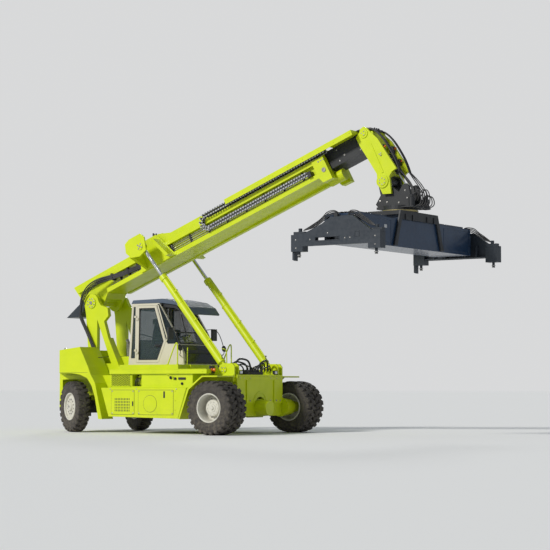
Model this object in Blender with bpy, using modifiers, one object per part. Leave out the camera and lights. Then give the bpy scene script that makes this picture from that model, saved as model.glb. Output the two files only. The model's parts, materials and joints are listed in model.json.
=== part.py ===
"""Reach stacker for containers: a wheeled truck with a telescopic boom that carries a spreader.

Metres, +Z up. +X is the way the truck drives, +Y is its left. The origin is on the ground, under
the middle of the machine's bounding box. The sizes below are written from the front axle, and
X_OFF moves them all so that the box is centred.
"""
import math

import bmesh
import bpy
from mathutils import Matrix, Vector

# ------------------------------------------------------------------ driving sizes
GAP = 0.0003            # between pieces that touch
CLEAR = 0.006           # between pieces that move past one another

TYRE_R = 0.685
TYRE_W = 0.35
RIM_R = 0.355
RIM_DISC = 0.03         # half the thickness of a front rim's disc
REAR_DISC = 0.08        # from a rear wheel's centre plane out to its disc
DUAL_PITCH = 0.391      # from one tyre of a pair to the other
FRONT_OUTER_Y = 1.985   # centre of an outer front tyre
WHEELBASE = 5.035
REAR_TRACK = 1.30       # half, to a rear tyre's centre plane when it points ahead
YOKE = 0.21             # half, between the plates that hold a kingpin
KING_OUT = 0.20         # from the kingpin out to the rear tyre's centre plane
STEER_REST = 26.0       # degrees, the way the rear wheels stand turned
WHEEL_SEGS = 24

FRAME_HALF = 1.03
FRAME_TOP = 1.50
BEAM_W = 0.20
STEER_PAD = 0.985       # where the steer axle meets the frame
REAR_FRAME = 0.50       # half, between the steered wheels
REAR_BEAM = 1.42        # underside of the frame over the steered wheels
DECK_T = 0.03
STEER_X = -WHEELBASE    # the steered axle
REAR_END = STEER_X - 1.215    # counterweight's back
CW_HALF = 1.50
BAY_HALF = 1.60
BOX_HALF = 1.87
DECK_Z = 1.675

PIVOT = (-5.07, 3.51)   # boom pivot, X and Z
PIVOT_PIN_R = 0.075
BOOM_REST = 21.3        # degrees above level
TOWER_IN = 0.56
TOWER_T = 0.12

BOOM_HALF = 0.40
BOOM_BOT = 0.13
BOOM_BOT_FRONT = 0.18
BOOM_TOP = 0.80
BOOM_FRONT = 8.00
STRIP_HALF = 0.50
STRIP_LOW = (0.11, 0.23)
STRIP_UP = (0.49, 0.61)
INNER_HALF = 0.30
INNER_BOT = 0.24
INNER_TOP = 0.72
INNER_REAR = 1.25
INNER_FRONT = 9.36
COLLAR_HALF = 0.53

LIFT_Y = 0.988
LIFT_BASE = (-0.28, 1.66)
LIFT_LEN = 4.30        # base pin to rod eye, as it stands
LIFT_ANGLE = 130.1      # degrees from +X, towards +Z
GLAND = 3.23
ROD_LEN = 3.0
ROD_R = 0.05
BARREL_R = 0.105
BARREL_R_TOP = 0.088
BARREL_STEP = 2.26
BORE_FROM = 0.40
EYE_W = 0.11
EYE_R = 0.12
EAR_T = 0.04
LIFT_PIN_R = 0.045
EAR_GAP = 0.014          # beside a cylinder's eye
EAR_FOOT = 1.125

CHAIN_Y = (-0.625, -0.465)
CHAIN_LOW_Y = (-0.595, -0.530)
CHAIN_N = 0.505         # centre of the loop
CHAIN_OUT = 0.235
CHAIN_IN = 0.115
CHAIN_S = 4.33
CHAIN_LOW_END = 7.74
CHAIN_UP_END = 8.35

TILT_PIN = (4.04, 6.30)
TILT_R = 0.16
TILT_PIN_R = 0.075
DAMPER_TOP = (3.98, 6.98)
DAMPER_EYE = (4.56, 6.20)
DAMPER_Y = 0.11
DAMPER_PIN_R = 0.025
ARM_IN = INNER_HALF + GAP
ARM_OUT = 0.37
LUG_Y = (INNER_HALF - 0.10, INNER_HALF - 0.03)

SLEW_X = 4.32
SLEW_R = 0.44
SADDLE_TOP = (5.40, 5.50)
SLEW_Z = (5.50, 5.60)
BRACKET_BASE = (5.600 + GAP, 5.666)
BOX_X = (3.835, 4.825)
BOX_Z = (4.60, 5.28)
BOX_HALF_Y = 2.70
BOX_WALL = 0.045
BEAM_CLEAR = 0.008
END_Y = 3.03
END_T = 0.10
SPREADER_FRONT = 5.555
SPREADER_REAR = 3.085
CORNER_L = 0.33

CAB_HALF = 0.75
CAB_WALL = 0.05
WIND_HALF = CAB_HALF - 0.06
CAB_FLOOR = 1.80
CAB_REAR = -3.66
DOOR_GAP = 0.006
HINGE_X = -3.43
HINGE_R = 0.016
HINGE_L = 0.06          # a knuckle's length; the cab's stands on the door's
HINGES = (2.10, 3.00)
GLASS_T = 0.008

X_OFF = -(REAR_END + SPREADER_FRONT) / 2

# ------------------------------------------------------------------ scene and materials
for thing in list(bpy.data.objects):
    bpy.data.objects.remove(thing, do_unlink=True)


def collection(name):
    c = bpy.data.collections.new(name)
    bpy.context.scene.collection.children.link(c)
    return c


PARTS = collection("reach_stacker")
CUTTERS = collection("cutters")


def material(name, colour, rough, metal=0.0, alpha=1.0):
    m = bpy.data.materials.new(name)
    m.use_nodes = True
    b = m.node_tree.nodes["Principled BSDF"]
    b.inputs["Base Color"].default_value = (*colour, 1.0)
    b.inputs["Roughness"].default_value = rough
    b.inputs["Metallic"].default_value = metal
    b.inputs["Alpha"].default_value = alpha
    return m


LIME = material("lime_paint", (0.60, 0.74, 0.0), 0.35)
RUBBER = material("tyre_rubber", (0.045, 0.04, 0.037), 0.85)
CREAM = material("cream_paint", (0.66, 0.62, 0.52), 0.4)
RIM = material("rim_paint", (0.70, 0.69, 0.62), 0.4)
BLACK = material("black_steel", (0.03, 0.032, 0.036), 0.5, 0.2)
NAVY = material("navy_paint", (0.012, 0.04, 0.10), 0.4)
SLATE = material("slate_paint", (0.035, 0.045, 0.055), 0.45)
CHROME = material("chrome", (0.75, 0.76, 0.78), 0.12, 1.0)
GLASS = material("glass", (0.10, 0.16, 0.18), 0.05, 0.0, 0.35)
ROOF = material("roof_plastic", (0.06, 0.09, 0.14), 0.4)
SEAT = material("seat_fabric", (0.03, 0.03, 0.032), 0.9)
GREY = material("light_grey", (0.45, 0.45, 0.43), 0.6)

# ------------------------------------------------------------------ frames
WORLD = Matrix.Translation((X_OFF, 0, 0))


def empty(name, matrix, parent=None):
    e = bpy.data.objects.new(name, None)
    PARTS.objects.link(e)
    e.matrix_world = matrix
    if parent is not None:
        e.parent = parent
        e.matrix_parent_inverse = parent.matrix_world.inverted()
    return e


def lean(degrees):
    """A turn in the XZ plane that lifts +X towards +Z."""
    return Matrix.Rotation(-math.radians(degrees), 4, "Y")


BOOM = WORLD @ Matrix.Translation((PIVOT[0], 0, PIVOT[1])) @ lean(BOOM_REST)
CHASSIS_AXIS = empty("chassis_axis", WORLD)
BOOM_AXIS = empty("boom_axis", BOOM, CHASSIS_AXIS)


def to_boom(x, z):
    """A place given from the front axle, in the boom's own length and height."""
    v = BOOM.inverted() @ WORLD @ Vector((x, 0, z))
    return v.x, v.z


# ------------------------------------------------------------------ shapes, as meshes
def _take(obj):
    """An object's evaluated mesh, welded, with the object removed."""
    dg = bpy.context.evaluated_depsgraph_get()
    mesh = bpy.data.meshes.new_from_object(obj.evaluated_get(dg))
    mesh.transform(obj.matrix_world)
    data = obj.data
    bpy.data.objects.remove(obj, do_unlink=True)
    if isinstance(data, bpy.types.Curve):
        bpy.data.curves.remove(data)
    bm = bmesh.new()
    bm.from_mesh(mesh)
    bmesh.ops.remove_doubles(bm, verts=bm.verts, dist=1e-5)
    bmesh.ops.recalc_face_normals(bm, faces=bm.faces)
    bm.to_mesh(mesh)
    bm.free()
    return mesh


def _mesh_of(bm):
    mesh = bpy.data.meshes.new("shape")
    bm.to_mesh(mesh)
    bm.free()
    return mesh


def box(x, y, z):
    """A block from its low and high x, y and z."""
    bm = bmesh.new()
    size = Matrix.Diagonal((x[1] - x[0], y[1] - y[0], z[1] - z[0], 1))
    mid = Matrix.Translation(((x[0] + x[1]) / 2, (y[0] + y[1]) / 2, (z[0] + z[1]) / 2))
    bmesh.ops.create_cube(bm, size=1.0, matrix=mid @ size)
    return _mesh_of(bm)


def cyl(a, b, r, segs=24, r2=None):
    """A cylinder or cone between two points."""
    a, b = Vector(a), Vector(b)
    turn = (b - a).to_track_quat("Z", "Y").to_matrix().to_4x4()
    bm = bmesh.new()
    bmesh.ops.create_cone(
        bm, cap_ends=True, segments=segs, radius1=r, radius2=r if r2 is None else r2,
        depth=(b - a).length, matrix=Matrix.Translation((a + b) / 2) @ turn)
    return _mesh_of(bm)


def plate(points, lo, hi, across="Y"):
    """A flat outline, thick from lo to hi along one axis.

    Across Y the points are (x, z), across X they are (y, z) and across Z they are (x, y).
    """
    data = bpy.data.curves.new("outline", "CURVE")
    data.dimensions = "2D"
    data.fill_mode = "BOTH"
    data.extrude = (hi - lo) / 2
    data.resolution_u = 1
    data.render_resolution_u = 0
    line = data.splines.new("POLY")
    line.points.add(len(points) - 1)
    for p, (u, v) in zip(line.points, points):
        p.co = (u, v, 0, 1)
    line.use_cyclic_u = True
    obj = bpy.data.objects.new("outline", data)
    PARTS.objects.link(obj)
    mid = (lo + hi) / 2
    if across == "Y":
        obj.matrix_world = Matrix.Translation((0, mid, 0)) @ Matrix.Rotation(math.pi / 2, 4, "X")
    elif across == "X":
        turn = Matrix(((0, 0, 1, 0), (1, 0, 0, 0), (0, 1, 0, 0), (0, 0, 0, 1)))
        obj.matrix_world = Matrix.Translation((mid, 0, 0)) @ turn
    else:
        obj.matrix_world = Matrix.Translation((0, 0, mid))
    bpy.context.view_layer.update()
    return _take(obj)


def turned(profile, segs=WHEEL_SEGS, axis="Z"):
    """A shape of revolution; the profile's (radius, height) points run down its outer side."""
    mesh = bpy.data.meshes.new("profile")
    closed = profile[0][0] > 1e-6
    n = len(profile)
    edges = [(i, i + 1) for i in range(n - 1)] + ([(n - 1, 0)] if closed else [])
    mesh.from_pydata([(r, 0, h) for r, h in profile], edges, [])
    obj = bpy.data.objects.new("profile", mesh)
    PARTS.objects.link(obj)
    s = obj.modifiers.new("turn", "SCREW")
    s.axis = "Z"
    s.steps = s.render_steps = segs
    s.use_merge_vertices = True
    s.merge_threshold = 0.0001
    if axis == "Y":
        obj.matrix_world = Matrix.Rotation(math.pi / 2, 4, "X")
    elif axis == "X":
        obj.matrix_world = Matrix.Rotation(math.pi / 2, 4, "Y")
    bpy.context.view_layer.update()
    return _take(obj)


def moved(mesh, matrix):
    mesh = mesh.copy()
    mesh.transform(matrix)
    if matrix.determinant() < 0:
        mesh.flip_normals()
    return mesh


def mirrored(mesh):
    """The same shape on the machine's other side."""
    return moved(mesh, Matrix.Diagonal((1, -1, 1, 1)))


def both(mesh):
    return [mesh, mirrored(mesh)]


def arc(cx, cz, r, a0, a1, steps):
    """Points on a circle, angles in degrees."""
    for i in range(steps + 1):
        a = math.radians(a0 + (a1 - a0) * i / steps)
        yield cx + r * math.cos(a), cz + r * math.sin(a)


def piece(name, mat, add, cut=(), frame=None, parent=None, bevel=0.0, smooth=None, last=()):
    """One named part: the first shape, with the others joined, the cutters taken away and the
    last shapes joined after that."""
    obj = bpy.data.objects.new(name, add[0])
    PARTS.objects.link(obj)
    obj.parent = parent if parent is not None else CHASSIS_AXIS
    obj.matrix_parent_inverse = obj.parent.matrix_world.inverted()
    obj.matrix_world = WORLD if frame is None else frame
    for step, mode, tools in (("join", "UNION", add[1:]), ("cut", "DIFFERENCE", cut),
                              ("last", "UNION", last)):
        for i, mesh in enumerate(tools):
            tool = bpy.data.objects.new(f"{name}_{step}_{i}", mesh)
            CUTTERS.objects.link(tool)
            tool.matrix_world = obj.matrix_world
            tool.hide_render = True
            tool.display_type = "WIRE"
            m = obj.modifiers.new(f"{step}_{i}", "BOOLEAN")
            m.operation = mode
            m.solver = "EXACT"
            m.object = tool
    if bevel:
        m = obj.modifiers.new("edges", "BEVEL")
        m.width = bevel
        m.segments = 1
        m.limit_method = "ANGLE"
        m.angle_limit = math.radians(50)
    add[0].materials.clear()
    add[0].materials.append(mat)
    if smooth:
        add[0].shade_smooth()
        add[0].set_sharp_from_angle(angle=math.radians(smooth))
    return obj


def bored(r, segs):
    """The radius of a faceted hole that a faceted pin of radius r turns in."""
    return (r + GAP) / math.cos(math.pi / segs)


# ------------------------------------------------------------------ wheels
def tyre_mesh():
    w, r = TYRE_W / 2, TYRE_R
    half = [(r, 0.0), (r, w - 0.055), (r - 0.035, w - 0.012), (r - 0.12, w),
            (RIM_R + 0.06, w - 0.010), (RIM_R + GAP, w - 0.045)]
    ring = [(q, h) for q, h in reversed(half)]
    ring += [(q, -h) for q, h in half[1:]]
    return turned(ring)


def front_rim_mesh():
    """The rim of both tyres of a pair, with the hub drum deep inside the outer one."""
    wall, out, inn = 0.025, DUAL_PITCH / 2 + TYRE_W / 2 - 0.02, -DUAL_PITCH / 2 - TYRE_W / 2 + 0.02
    r = RIM_R - wall
    face = out - 0.16
    disc = RIM_DISC
    return turned([(0, face), (0.20, face), (0.215, face - 0.02), (0.215, disc), (r, disc),
                   (r, out - 0.015), (r + 0.012, out), (RIM_R - 0.004, out), (RIM_R, out - 0.02),
                   (RIM_R, inn), (r, inn), (r, -disc), (0, -disc)])


def rear_rim_mesh():
    wall, out, inn = 0.025, TYRE_W / 2 - 0.02, -TYRE_W / 2 + 0.02
    r = RIM_R - wall
    return turned([(0, out + 0.015), (0.13, out + 0.015), (0.15, out - 0.035), (0.27, out - 0.035),
                   (r, out - 0.06), (r, out - 0.012), (r + 0.012, out), (RIM_R - 0.004, out),
                   (RIM_R, out - 0.02), (RIM_R, inn), (r, inn), (r, REAR_DISC - 0.015),
                   (0.24, REAR_DISC), (0, REAR_DISC)])


TYRE, FRONT_RIM, REAR_RIM = tyre_mesh(), front_rim_mesh(), rear_rim_mesh()

for side, sy in (("right", -1), ("left", 1)):
    out = Matrix.Rotation(math.radians(90 * -sy), 4, "X")   # local +Z points outwards
    mid = FRONT_OUTER_Y - DUAL_PITCH / 2
    hub = WORLD @ Matrix.Translation((0, sy * mid, TYRE_R)) @ out
    axis = empty(f"front_{side}_spin_axis", hub, CHASSIS_AXIS)
    piece(f"rim_front_{side}", RIM, [FRONT_RIM.copy()], frame=hub, parent=axis, smooth=40)
    for which, k in (("outer", 1), ("inner", -1)):
        at = hub @ Matrix.Translation((0, 0, k * DUAL_PITCH / 2))
        piece(f"tyre_front_{side}_{which}", RUBBER, [TYRE.copy()], frame=at, parent=axis,
              smooth=40)
    # the rear wheel stands turned about its kingpin
    king = WORLD @ Matrix.Translation((STEER_X, sy * (REAR_TRACK - KING_OUT), TYRE_R))
    turn = Matrix.Rotation(math.radians(-STEER_REST), 4, "Z")
    king_axis = empty(f"steer_{side}_axis", king @ turn, CHASSIS_AXIS)
    wheel = king @ turn @ Matrix.Translation((0, sy * KING_OUT, 0)) @ out
    piece(f"tyre_rear_{side}", RUBBER, [TYRE.copy()], frame=wheel, parent=king_axis, smooth=40)
    piece(f"rim_rear_{side}", RIM, [REAR_RIM.copy()], frame=wheel, parent=king_axis, smooth=40)
    knuckle = [cyl((0, 0, GAP - YOKE), (0, 0, YOKE - GAP), 0.085, 20),
               cyl((0, 0, 0), (0, sy * (KING_OUT + REAR_DISC - GAP), 0), 0.12, 24)]
    piece(f"knuckle_{side}", BLACK, knuckle, frame=king @ turn, parent=king_axis)

# ------------------------------------------------------------------ axles
arm_end = FRONT_OUTER_Y - DUAL_PITCH / 2 - RIM_DISC - GAP
axle_in = FRAME_HALF + 0.006
front_axle = [box((-0.30, 0.037), (-axle_in - 0.03, axle_in + 0.03), (0.46, 0.90)),
              cyl((-0.20, 0, TYRE_R - 0.02), (0.40, 0, TYRE_R - 0.02), 0.24, 24, 0.19)]
front_axle += both(cyl((0, axle_in, TYRE_R), (0, arm_end, TYRE_R), 0.15, 24))
front_axle += both(cyl((0, axle_in + 0.002, TYRE_R), (0, 1.48, TYRE_R), 0.26, 24, 0.205))
front_axle += both(box((-0.27, 0.01), (FRAME_HALF - BEAM_W + 0.02, FRAME_HALF - 0.02),
                       (0.88, 0.97 - GAP)))
piece("front_axle", LIME, front_axle)

k_y = REAR_TRACK - KING_OUT
steer_axle = [box((-0.17, 0.17), (-k_y + 0.16, k_y - 0.16), (-0.17, 0.17))]
for sy in (-1, 1):
    for z in (-YOKE - 0.05, YOKE):
        steer_axle.append(box((-0.13, 0.13), tuple(sorted((sy * (k_y - 0.22), sy * (k_y + 0.10)))),
                              (z, z + 0.05)))
    steer_axle.append(box((-0.15, 0.15), tuple(sorted((sy * (k_y - 0.22), sy * (k_y - 0.13)))),
                          (-0.26, 0.26)))
steer_axle.append(box((-0.14, 0.14), (-0.20, 0.20), (0.0, STEER_PAD - TYRE_R - GAP)))
piece("steer_axle", BLACK, steer_axle,
      frame=WORLD @ Matrix.Translation((STEER_X, 0, TYRE_R)))

# ------------------------------------------------------------------ chassis
F, B, T = FRAME_HALF, BEAM_W, FRAME_TOP
side = [(0.09, T), (0.09, 0.97), (-0.42, 0.97), (-0.50, 0.62), (STEER_X + 1.035, 0.62),
        (STEER_X + 0.835, 0.95), (STEER_X + 0.735, REAR_BEAM), (STEER_X - 0.685, REAR_BEAM),
        (STEER_X - 0.685, T)]
frame = [plate(side, F - B, F)]
frame += [mirrored(frame[0])]
frame += [box((0.04, 0.092), (-F - 0.002, F + 0.002), (0.79, T - 0.003)),
          box((STEER_X - 0.69, 0.095), (-F, F), (T - 0.01, T + DECK_T)),
          box((-0.62, -0.52), (-F + 0.05, F - 0.05), (0.80, T - 0.003)),
          box((-2.55, -2.45), (-F + 0.05, F - 0.05), (1.22, T - 0.003)),
          box((STEER_X + 0.845, STEER_X + 0.975), (-F + 0.05, F - 0.05), (1.00, T - 0.003)),
          box((STEER_X - 0.665, STEER_X + 0.935), (-REAR_FRAME, REAR_FRAME),
              (STEER_PAD, T - 0.004))]
# ears for the lift cylinders, two plates each side on a common foot
ear = [(-0.44, T - 0.05), (0.05, T - 0.05), (0.05, 1.74), (-0.02, 1.82), (-0.33, 1.82),
       (-0.44, 1.72)]
ear_in, ear_out = LIFT_Y - EYE_W / 2 - EAR_GAP - EAR_T, LIFT_Y + EYE_W / 2 + EAR_GAP
for a in (ear_in, ear_out):
    frame += both(plate(ear, a, a + EAR_T))
lx, lz = LIFT_BASE
frame += both(cyl((lx, ear_in - 0.012, lz), (lx, ear_out + EAR_T + 0.012, lz), LIFT_PIN_R, 20))
frame += both(box((-0.455, 0.03), (F - 0.12, EAR_FOOT), (1.35, T + DECK_T - 0.004)))
frame_cut = [cyl((-0.1, 0, 0.70), (0.3, 0, 0.70), 0.26, 24)]
piece("main_frame", LIME, frame, frame_cut)

# counterweight: one casting across the back, arched over the rear wheels
cw_side = [(REAR_END, 2.12), (STEER_X + 0.255, 2.29), (STEER_X + 0.555, 1.75),
           (STEER_X + 0.635, 1.56), (STEER_X + 0.795, 1.32), (STEER_X + 1.045, 0.36),
           (REAR_END + 0.25, 0.36), (REAR_END, 0.75)]
counter = plate(cw_side, -CW_HALF, CW_HALF)
arch = [(-1.465, 0.2), (0.915, 0.2), (0.915, 0.36), (0.795, 0.94), (0.675, 1.25), (0.515, 1.45),
        (0.285, 1.54), (-0.015, 1.585), (-1.465, 1.60)]
arch = [(STEER_X + x, z) for x, z in arch]
slot_y = TOWER_IN + TOWER_T + 0.03
cw_cut = both(plate(arch, 0.96, CW_HALF + 0.1))
cw_cut += both(plate([(REAR_END - 0.2, 0.37), (REAR_END + 0.76, CW_HALF + 0.003),
                      (REAR_END + 0.76, 2.0), (REAR_END - 0.35, 2.0)], 0.1, 2.5, "Z"))
cw_cut += [box((STEER_X - 0.705 - GAP, -3.5), (-F - GAP, F + GAP), (1.3, T + DECK_T + GAP)),
           box((STEER_X - 0.805, -3.55), (-F - 0.002, F + 0.002), (0.1, REAR_BEAM - 0.005)),
           box((REAR_END - 0.15, REAR_END + 0.65), (-0.97, 0.97), (0.15, 0.62)),
           box((-5.34, -3.4), (-slot_y, slot_y), (1.4, 3.0))]
piece("counterweight", LIME, [counter], cw_cut)

# boom tower: an A of plate on each side, with the pivot in its head
px, pz = PIVOT
foot = T + DECK_T + GAP
tower = [(-4.00, foot), (-4.03, 1.67), (-4.47, 2.55), (-4.62, 3.00), (-4.47, 3.15), (-4.50, 3.36),
         (-4.74, 3.44)]
tower += list(arc(px, pz, 0.25, 10, 190, 8))
tower += [(-5.26, 3.2), (-5.14, 1.8), (-5.14, foot)]
hole = [(-4.86, 3.05), (-4.86, 1.85), (-4.36, 1.85)]
for side_name, sy in (("right", -1), ("left", 1)):
    lo, hi = sorted((sy * TOWER_IN, sy * (TOWER_IN + TOWER_T)))
    ilo, ihi = sorted((sy * (TOWER_IN - 0.10), sy * (TOWER_IN + 0.01)))
    flange = [(-4.00, foot), (-4.03, 1.67), (-4.47, 2.55), (-4.51, 2.53), (-4.08, 1.67),
              (-4.06, foot)]
    piece(f"boom_tower_{side_name}", LIME, [plate(tower, lo, hi), plate(flange, ilo, ihi)],
          [plate(hole, lo - 0.1, hi + 0.1),
           cyl((px, lo - 0.1, pz), (px, hi + 0.1, pz), bored(PIVOT_PIN_R, 24), 24)])

# engine and drive under the deck, as plain blocks, with the hood on top
under = T - 0.01 - GAP
piece("powertrain", BLACK, [box((-4.00, -2.60), (-0.45, 0.45), (0.55, under)),
                            box((-2.40, -1.20), (-0.35, 0.35), (0.60, under - 0.002)),
                            cyl((-2.65, 0, 0.95), (-2.35, 0, 0.95), 0.2, 20),
                            cyl((-1.25, 0, 0.72), (-0.32, 0, TYRE_R), 0.07, 16)])
hood = [(-5.10, foot), (-3.78, foot), (-3.78, 1.98), (-3.86, 2.04), (-5.02, 2.04), (-5.10, 1.96)]
piece("engine_hood", LIME, [plate(hood, -0.44, 0.44)], bevel=0.02)

# ------------------------------------------------------------------ sides: boxes, bays, fenders
side_box = [(-3.73, 1.195), (-3.47, 0.44), (-1.17, 0.40), (-0.90, 1.195)]
bay = [(-3.70, 1.20), (-0.44, 1.20), (-0.44, DECK_Z - 0.12), (-3.70, DECK_Z - 0.12)]
for side_name, sy in (("right", -1), ("left", 1)):
    def span(a, b):
        return tuple(sorted((sy * a, sy * b)))
    lo, hi = span(1.30, BOX_HALF)
    piece(f"side_box_{side_name}", LIME, [plate(side_box, lo, hi)], bevel=0.012)
    # bay and deck: the wall over the box, and the walkway on it
    lo, hi = span(F + GAP, BAY_HALF - 0.06)
    parts = [box((-3.66, -0.95), (lo, hi), (1.195 + GAP, 1.57)),
             box((-3.66, -0.46), span(EAR_FOOT + GAP, BAY_HALF), (1.555, DECK_Z))]
    cuts = [box((-2.93, -2.62), span(BAY_HALF - 0.36, BAY_HALF - 0.03), (1.23, 1.54))]
    piece(f"side_bay_{side_name}", LIME, parts, cuts)
    # fender: a bent plate over the front pair, chamfered down to the side box
    top = 1.50
    bend = [(0.07, top), (-0.42, top), (-0.88, 1.17), (-1.16, 0.40), (-1.12, 0.39),
            (-0.83, 1.145), (-0.40, top - 0.035), (0.07, top - 0.035)]
    piece(f"fender_{side_name}", LIME, [plate(bend, *span(EAR_FOOT + GAP, BOX_HALF))])

# ------------------------------------------------------------------ cab
C0 = CAB_FLOOR
cab_out = [(CAB_REAR - 0.04, C0), (CAB_REAR + 0.08, 3.44), (-2.66, 3.44), (-2.14, 2.66),
           (-1.98, 2.32), (-1.86, 2.12), (-1.82, C0)]


def inset(points, d):
    """An outline moved in by d, for one that runs clockwise as drawn."""
    n, res = len(points), []
    area = sum(points[i][0] * points[(i + 1) % n][1] - points[(i + 1) % n][0] * points[i][1]
               for i in range(n))
    s = 1 if area > 0 else -1
    for i in range(n):
        p0, p1, p2 = Vector(points[i - 1]), Vector(points[i]), Vector(points[(i + 1) % n])
        e0, e1 = (p1 - p0).normalized(), (p2 - p1).normalized()
        n0, n1 = Vector((-e0.y, e0.x)) * s, Vector((-e1.y, e1.x)) * s
        k = (n0 + n1) / (1 + n0.dot(n1))
        res.append(tuple(p1 + k * d))
    return res


door = [(-3.42, 1.87), (-3.40, 3.38), (-2.77, 3.38), (-2.44, 2.42), (-2.68, 1.87)]
quarter = [(-3.62, 1.98), (-3.53, 3.36), (-3.46, 3.36), (-3.48, 1.98)]
shell_cut = [plate(inset(cab_out, CAB_WALL), -CAB_HALF + CAB_WALL, CAB_HALF - CAB_WALL),
             plate(inset(door, -DOOR_GAP), -CAB_HALF - 0.1, CAB_HALF + 0.1),
             plate(quarter, -CAB_HALF - 0.1, CAB_HALF + 0.1)]
shell_cut += [plate([(-2.67, 3.34), (-2.20, 2.64), (-2.04, 2.34), (-1.5, 2.34), (-2.0, 3.34)],
                    -WIND_HALF, WIND_HALF),
              box((-4.0, -3.5), (-0.60, 0.60), (2.45, 3.30))]
hinge_y = CAB_HALF + HINGE_R + GAP
shell_hinge = []
for z in HINGES:
    shell_hinge += both(cyl((HINGE_X, hinge_y, z + HINGE_L), (HINGE_X, hinge_y, z + 2 * HINGE_L),
                            HINGE_R, 12))
    shell_hinge += both(box((HINGE_X - 0.07, HINGE_X), (CAB_HALF - 0.01, CAB_HALF + HINGE_R),
                            (z + HINGE_L + 0.004, z + 2 * HINGE_L - 0.004)))
piece("cab_shell", CREAM, [plate(cab_out, -CAB_HALF, CAB_HALF)], shell_cut, last=shell_hinge)
base_top = C0 - GAP
piece("cab_base", LIME, [box((-3.66, -1.62), (-CAB_HALF + 0.02, CAB_HALF - 0.02),
                             (T + DECK_T + GAP, base_top)),
                         box((-3.62, -1.66), (-F - 0.2, F + 0.2), (DECK_Z + GAP, base_top))])

roof = [(CAB_REAR, 3.44 + GAP), (-2.60, 3.44 + GAP), (-2.16, 3.38), (-1.90, 3.26), (-1.76, 3.12),
        (-1.72, 3.15), (-1.86, 3.33), (-2.14, 3.48), (-2.60, 3.56), (CAB_REAR + 0.06, 3.54)]
piece("cab_roof", ROOF, [plate(roof, -0.70, 0.70)], bevel=0.012)

# windshield: one bent pane inside its opening
pane_line = [(-2.645, 3.325), (-2.175, 2.655), (-2.02, 2.355)]
pane = pane_line + [(x + GLASS_T, z + GLASS_T * 0.7) for x, z in reversed(pane_line)]
piece("windshield", GLASS, [plate(pane, -WIND_HALF + GAP, WIND_HALF - GAP)])

for side_name, sy in (("right", -1), ("left", 1)):
    def span(a, b):
        return tuple(sorted((sy * a, sy * b)))
    axis = empty(f"door_{side_name}_axis",
                 WORLD @ Matrix.Translation((HINGE_X, sy * hinge_y, 0)), CHASSIS_AXIS)
    lo, hi = span(CAB_HALF - CAB_WALL, CAB_HALF + 0.004)
    at = axis.matrix_world
    shift = Matrix.Translation((-HINGE_X, -sy * hinge_y, 0))
    hole_d = inset(door, 0.06)
    knuckles = []
    for z in HINGES:
        knuckles += [cyl((0, 0, z), (0, 0, z + HINGE_L - GAP), HINGE_R, 12),
                     box((0, 0.07), span(0.002 + CAB_HALF - hinge_y, HINGE_R - 0.004),
                         (z + 0.004, z + HINGE_L - 0.004))]
    piece(f"door_{side_name}", CREAM, [moved(plate(door, lo, hi), shift)] + knuckles,
          [moved(plate(hole_d, lo - 0.1, hi + 0.1), shift)], frame=at, parent=axis)
    lo, hi = span(CAB_HALF - 0.03, CAB_HALF - 0.03 + GLASS_T)
    piece(f"door_glass_{side_name}", GLASS, [moved(plate(inset(hole_d, GAP), lo, hi), shift)],
          frame=at, parent=axis)

F0 = C0 + CAB_WALL + GAP
piece("seat", SEAT, [box((-3.18, -2.80), (-0.22, 0.22), (F0, F0 + 0.34)),
                     box((-3.28, -2.70), (-0.26, 0.26), (F0 + 0.30, F0 + 0.48)),
                     plate([(-3.28, F0 + 0.40), (-3.14, F0 + 0.44), (-3.26, F0 + 1.10),
                            (-3.38, F0 + 1.08)], -0.24, 0.24),
                     box((-3.12, -2.76), (-0.36, -0.25), (F0 + 0.52, F0 + 0.60)),
                     box((-3.12, -2.76), (0.25, 0.36), (F0 + 0.52, F0 + 0.60)),
                     box((-3.12, -3.00), (-0.36, 0.36), (F0 + 0.42, F0 + 0.55))],
      bevel=0.015)
s0, s1 = Vector((-2.18, 0, F0 + 0.1)), Vector((-2.40, 0, 2.54))
d = (s1 - s0).normalized()
wheel_turn = d.to_track_quat("Z", "Y").to_matrix().to_4x4()
ring = turned([(0.17 + 0.014 * math.cos(a), 0.014 * math.sin(a))
               for a in (math.radians(x) for x in range(150, -181, -60))], 16)
piece("steering_wheel", BLACK,
      [cyl(s0, s1, 0.035, 12), cyl(s1 - d * 0.03, s1 + d * 0.01, 0.06, 12),
       moved(ring, Matrix.Translation(s1) @ wheel_turn),
       moved(box((-0.165, 0.165), (-0.015, 0.015), (-0.012, 0.008)),
             Matrix.Translation(s1) @ wheel_turn),
       box((-2.26, -2.06), (-0.30, 0.30), (F0, F0 + 0.40))])

# ------------------------------------------------------------------ outer boom
outer_side = [(-0.65, 0.74), (-0.50, 0.30), (-0.24, 0.04)]
outer_side += list(arc(0, 0, 0.20, 190, 320, 6))
outer_side += [(0.42, BOOM_BOT), (3.0, BOOM_BOT), (BOOM_FRONT, BOOM_BOT_FRONT),
               (BOOM_FRONT, BOOM_TOP), (3.0, BOOM_TOP), (2.62, 0.93), (2.10, 0.93),
               (1.62, 0.76)]
outer = [plate(outer_side, -BOOM_HALF, BOOM_HALF)]
for n0, n1, s_rear in ((*STRIP_LOW, 0.50), (*STRIP_UP, -0.50)):
    outer += both(box((s_rear, BOOM_FRONT), (BOOM_HALF - 0.02, STRIP_HALF), (n0, n1)))
collar = [(7.84, 0.57), (8.20, 0.59), (8.28, -0.06), (7.99, -0.05), (7.90, 0.11)]
outer += both(plate(collar, BOOM_HALF - 0.04, COLLAR_HALF))
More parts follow.
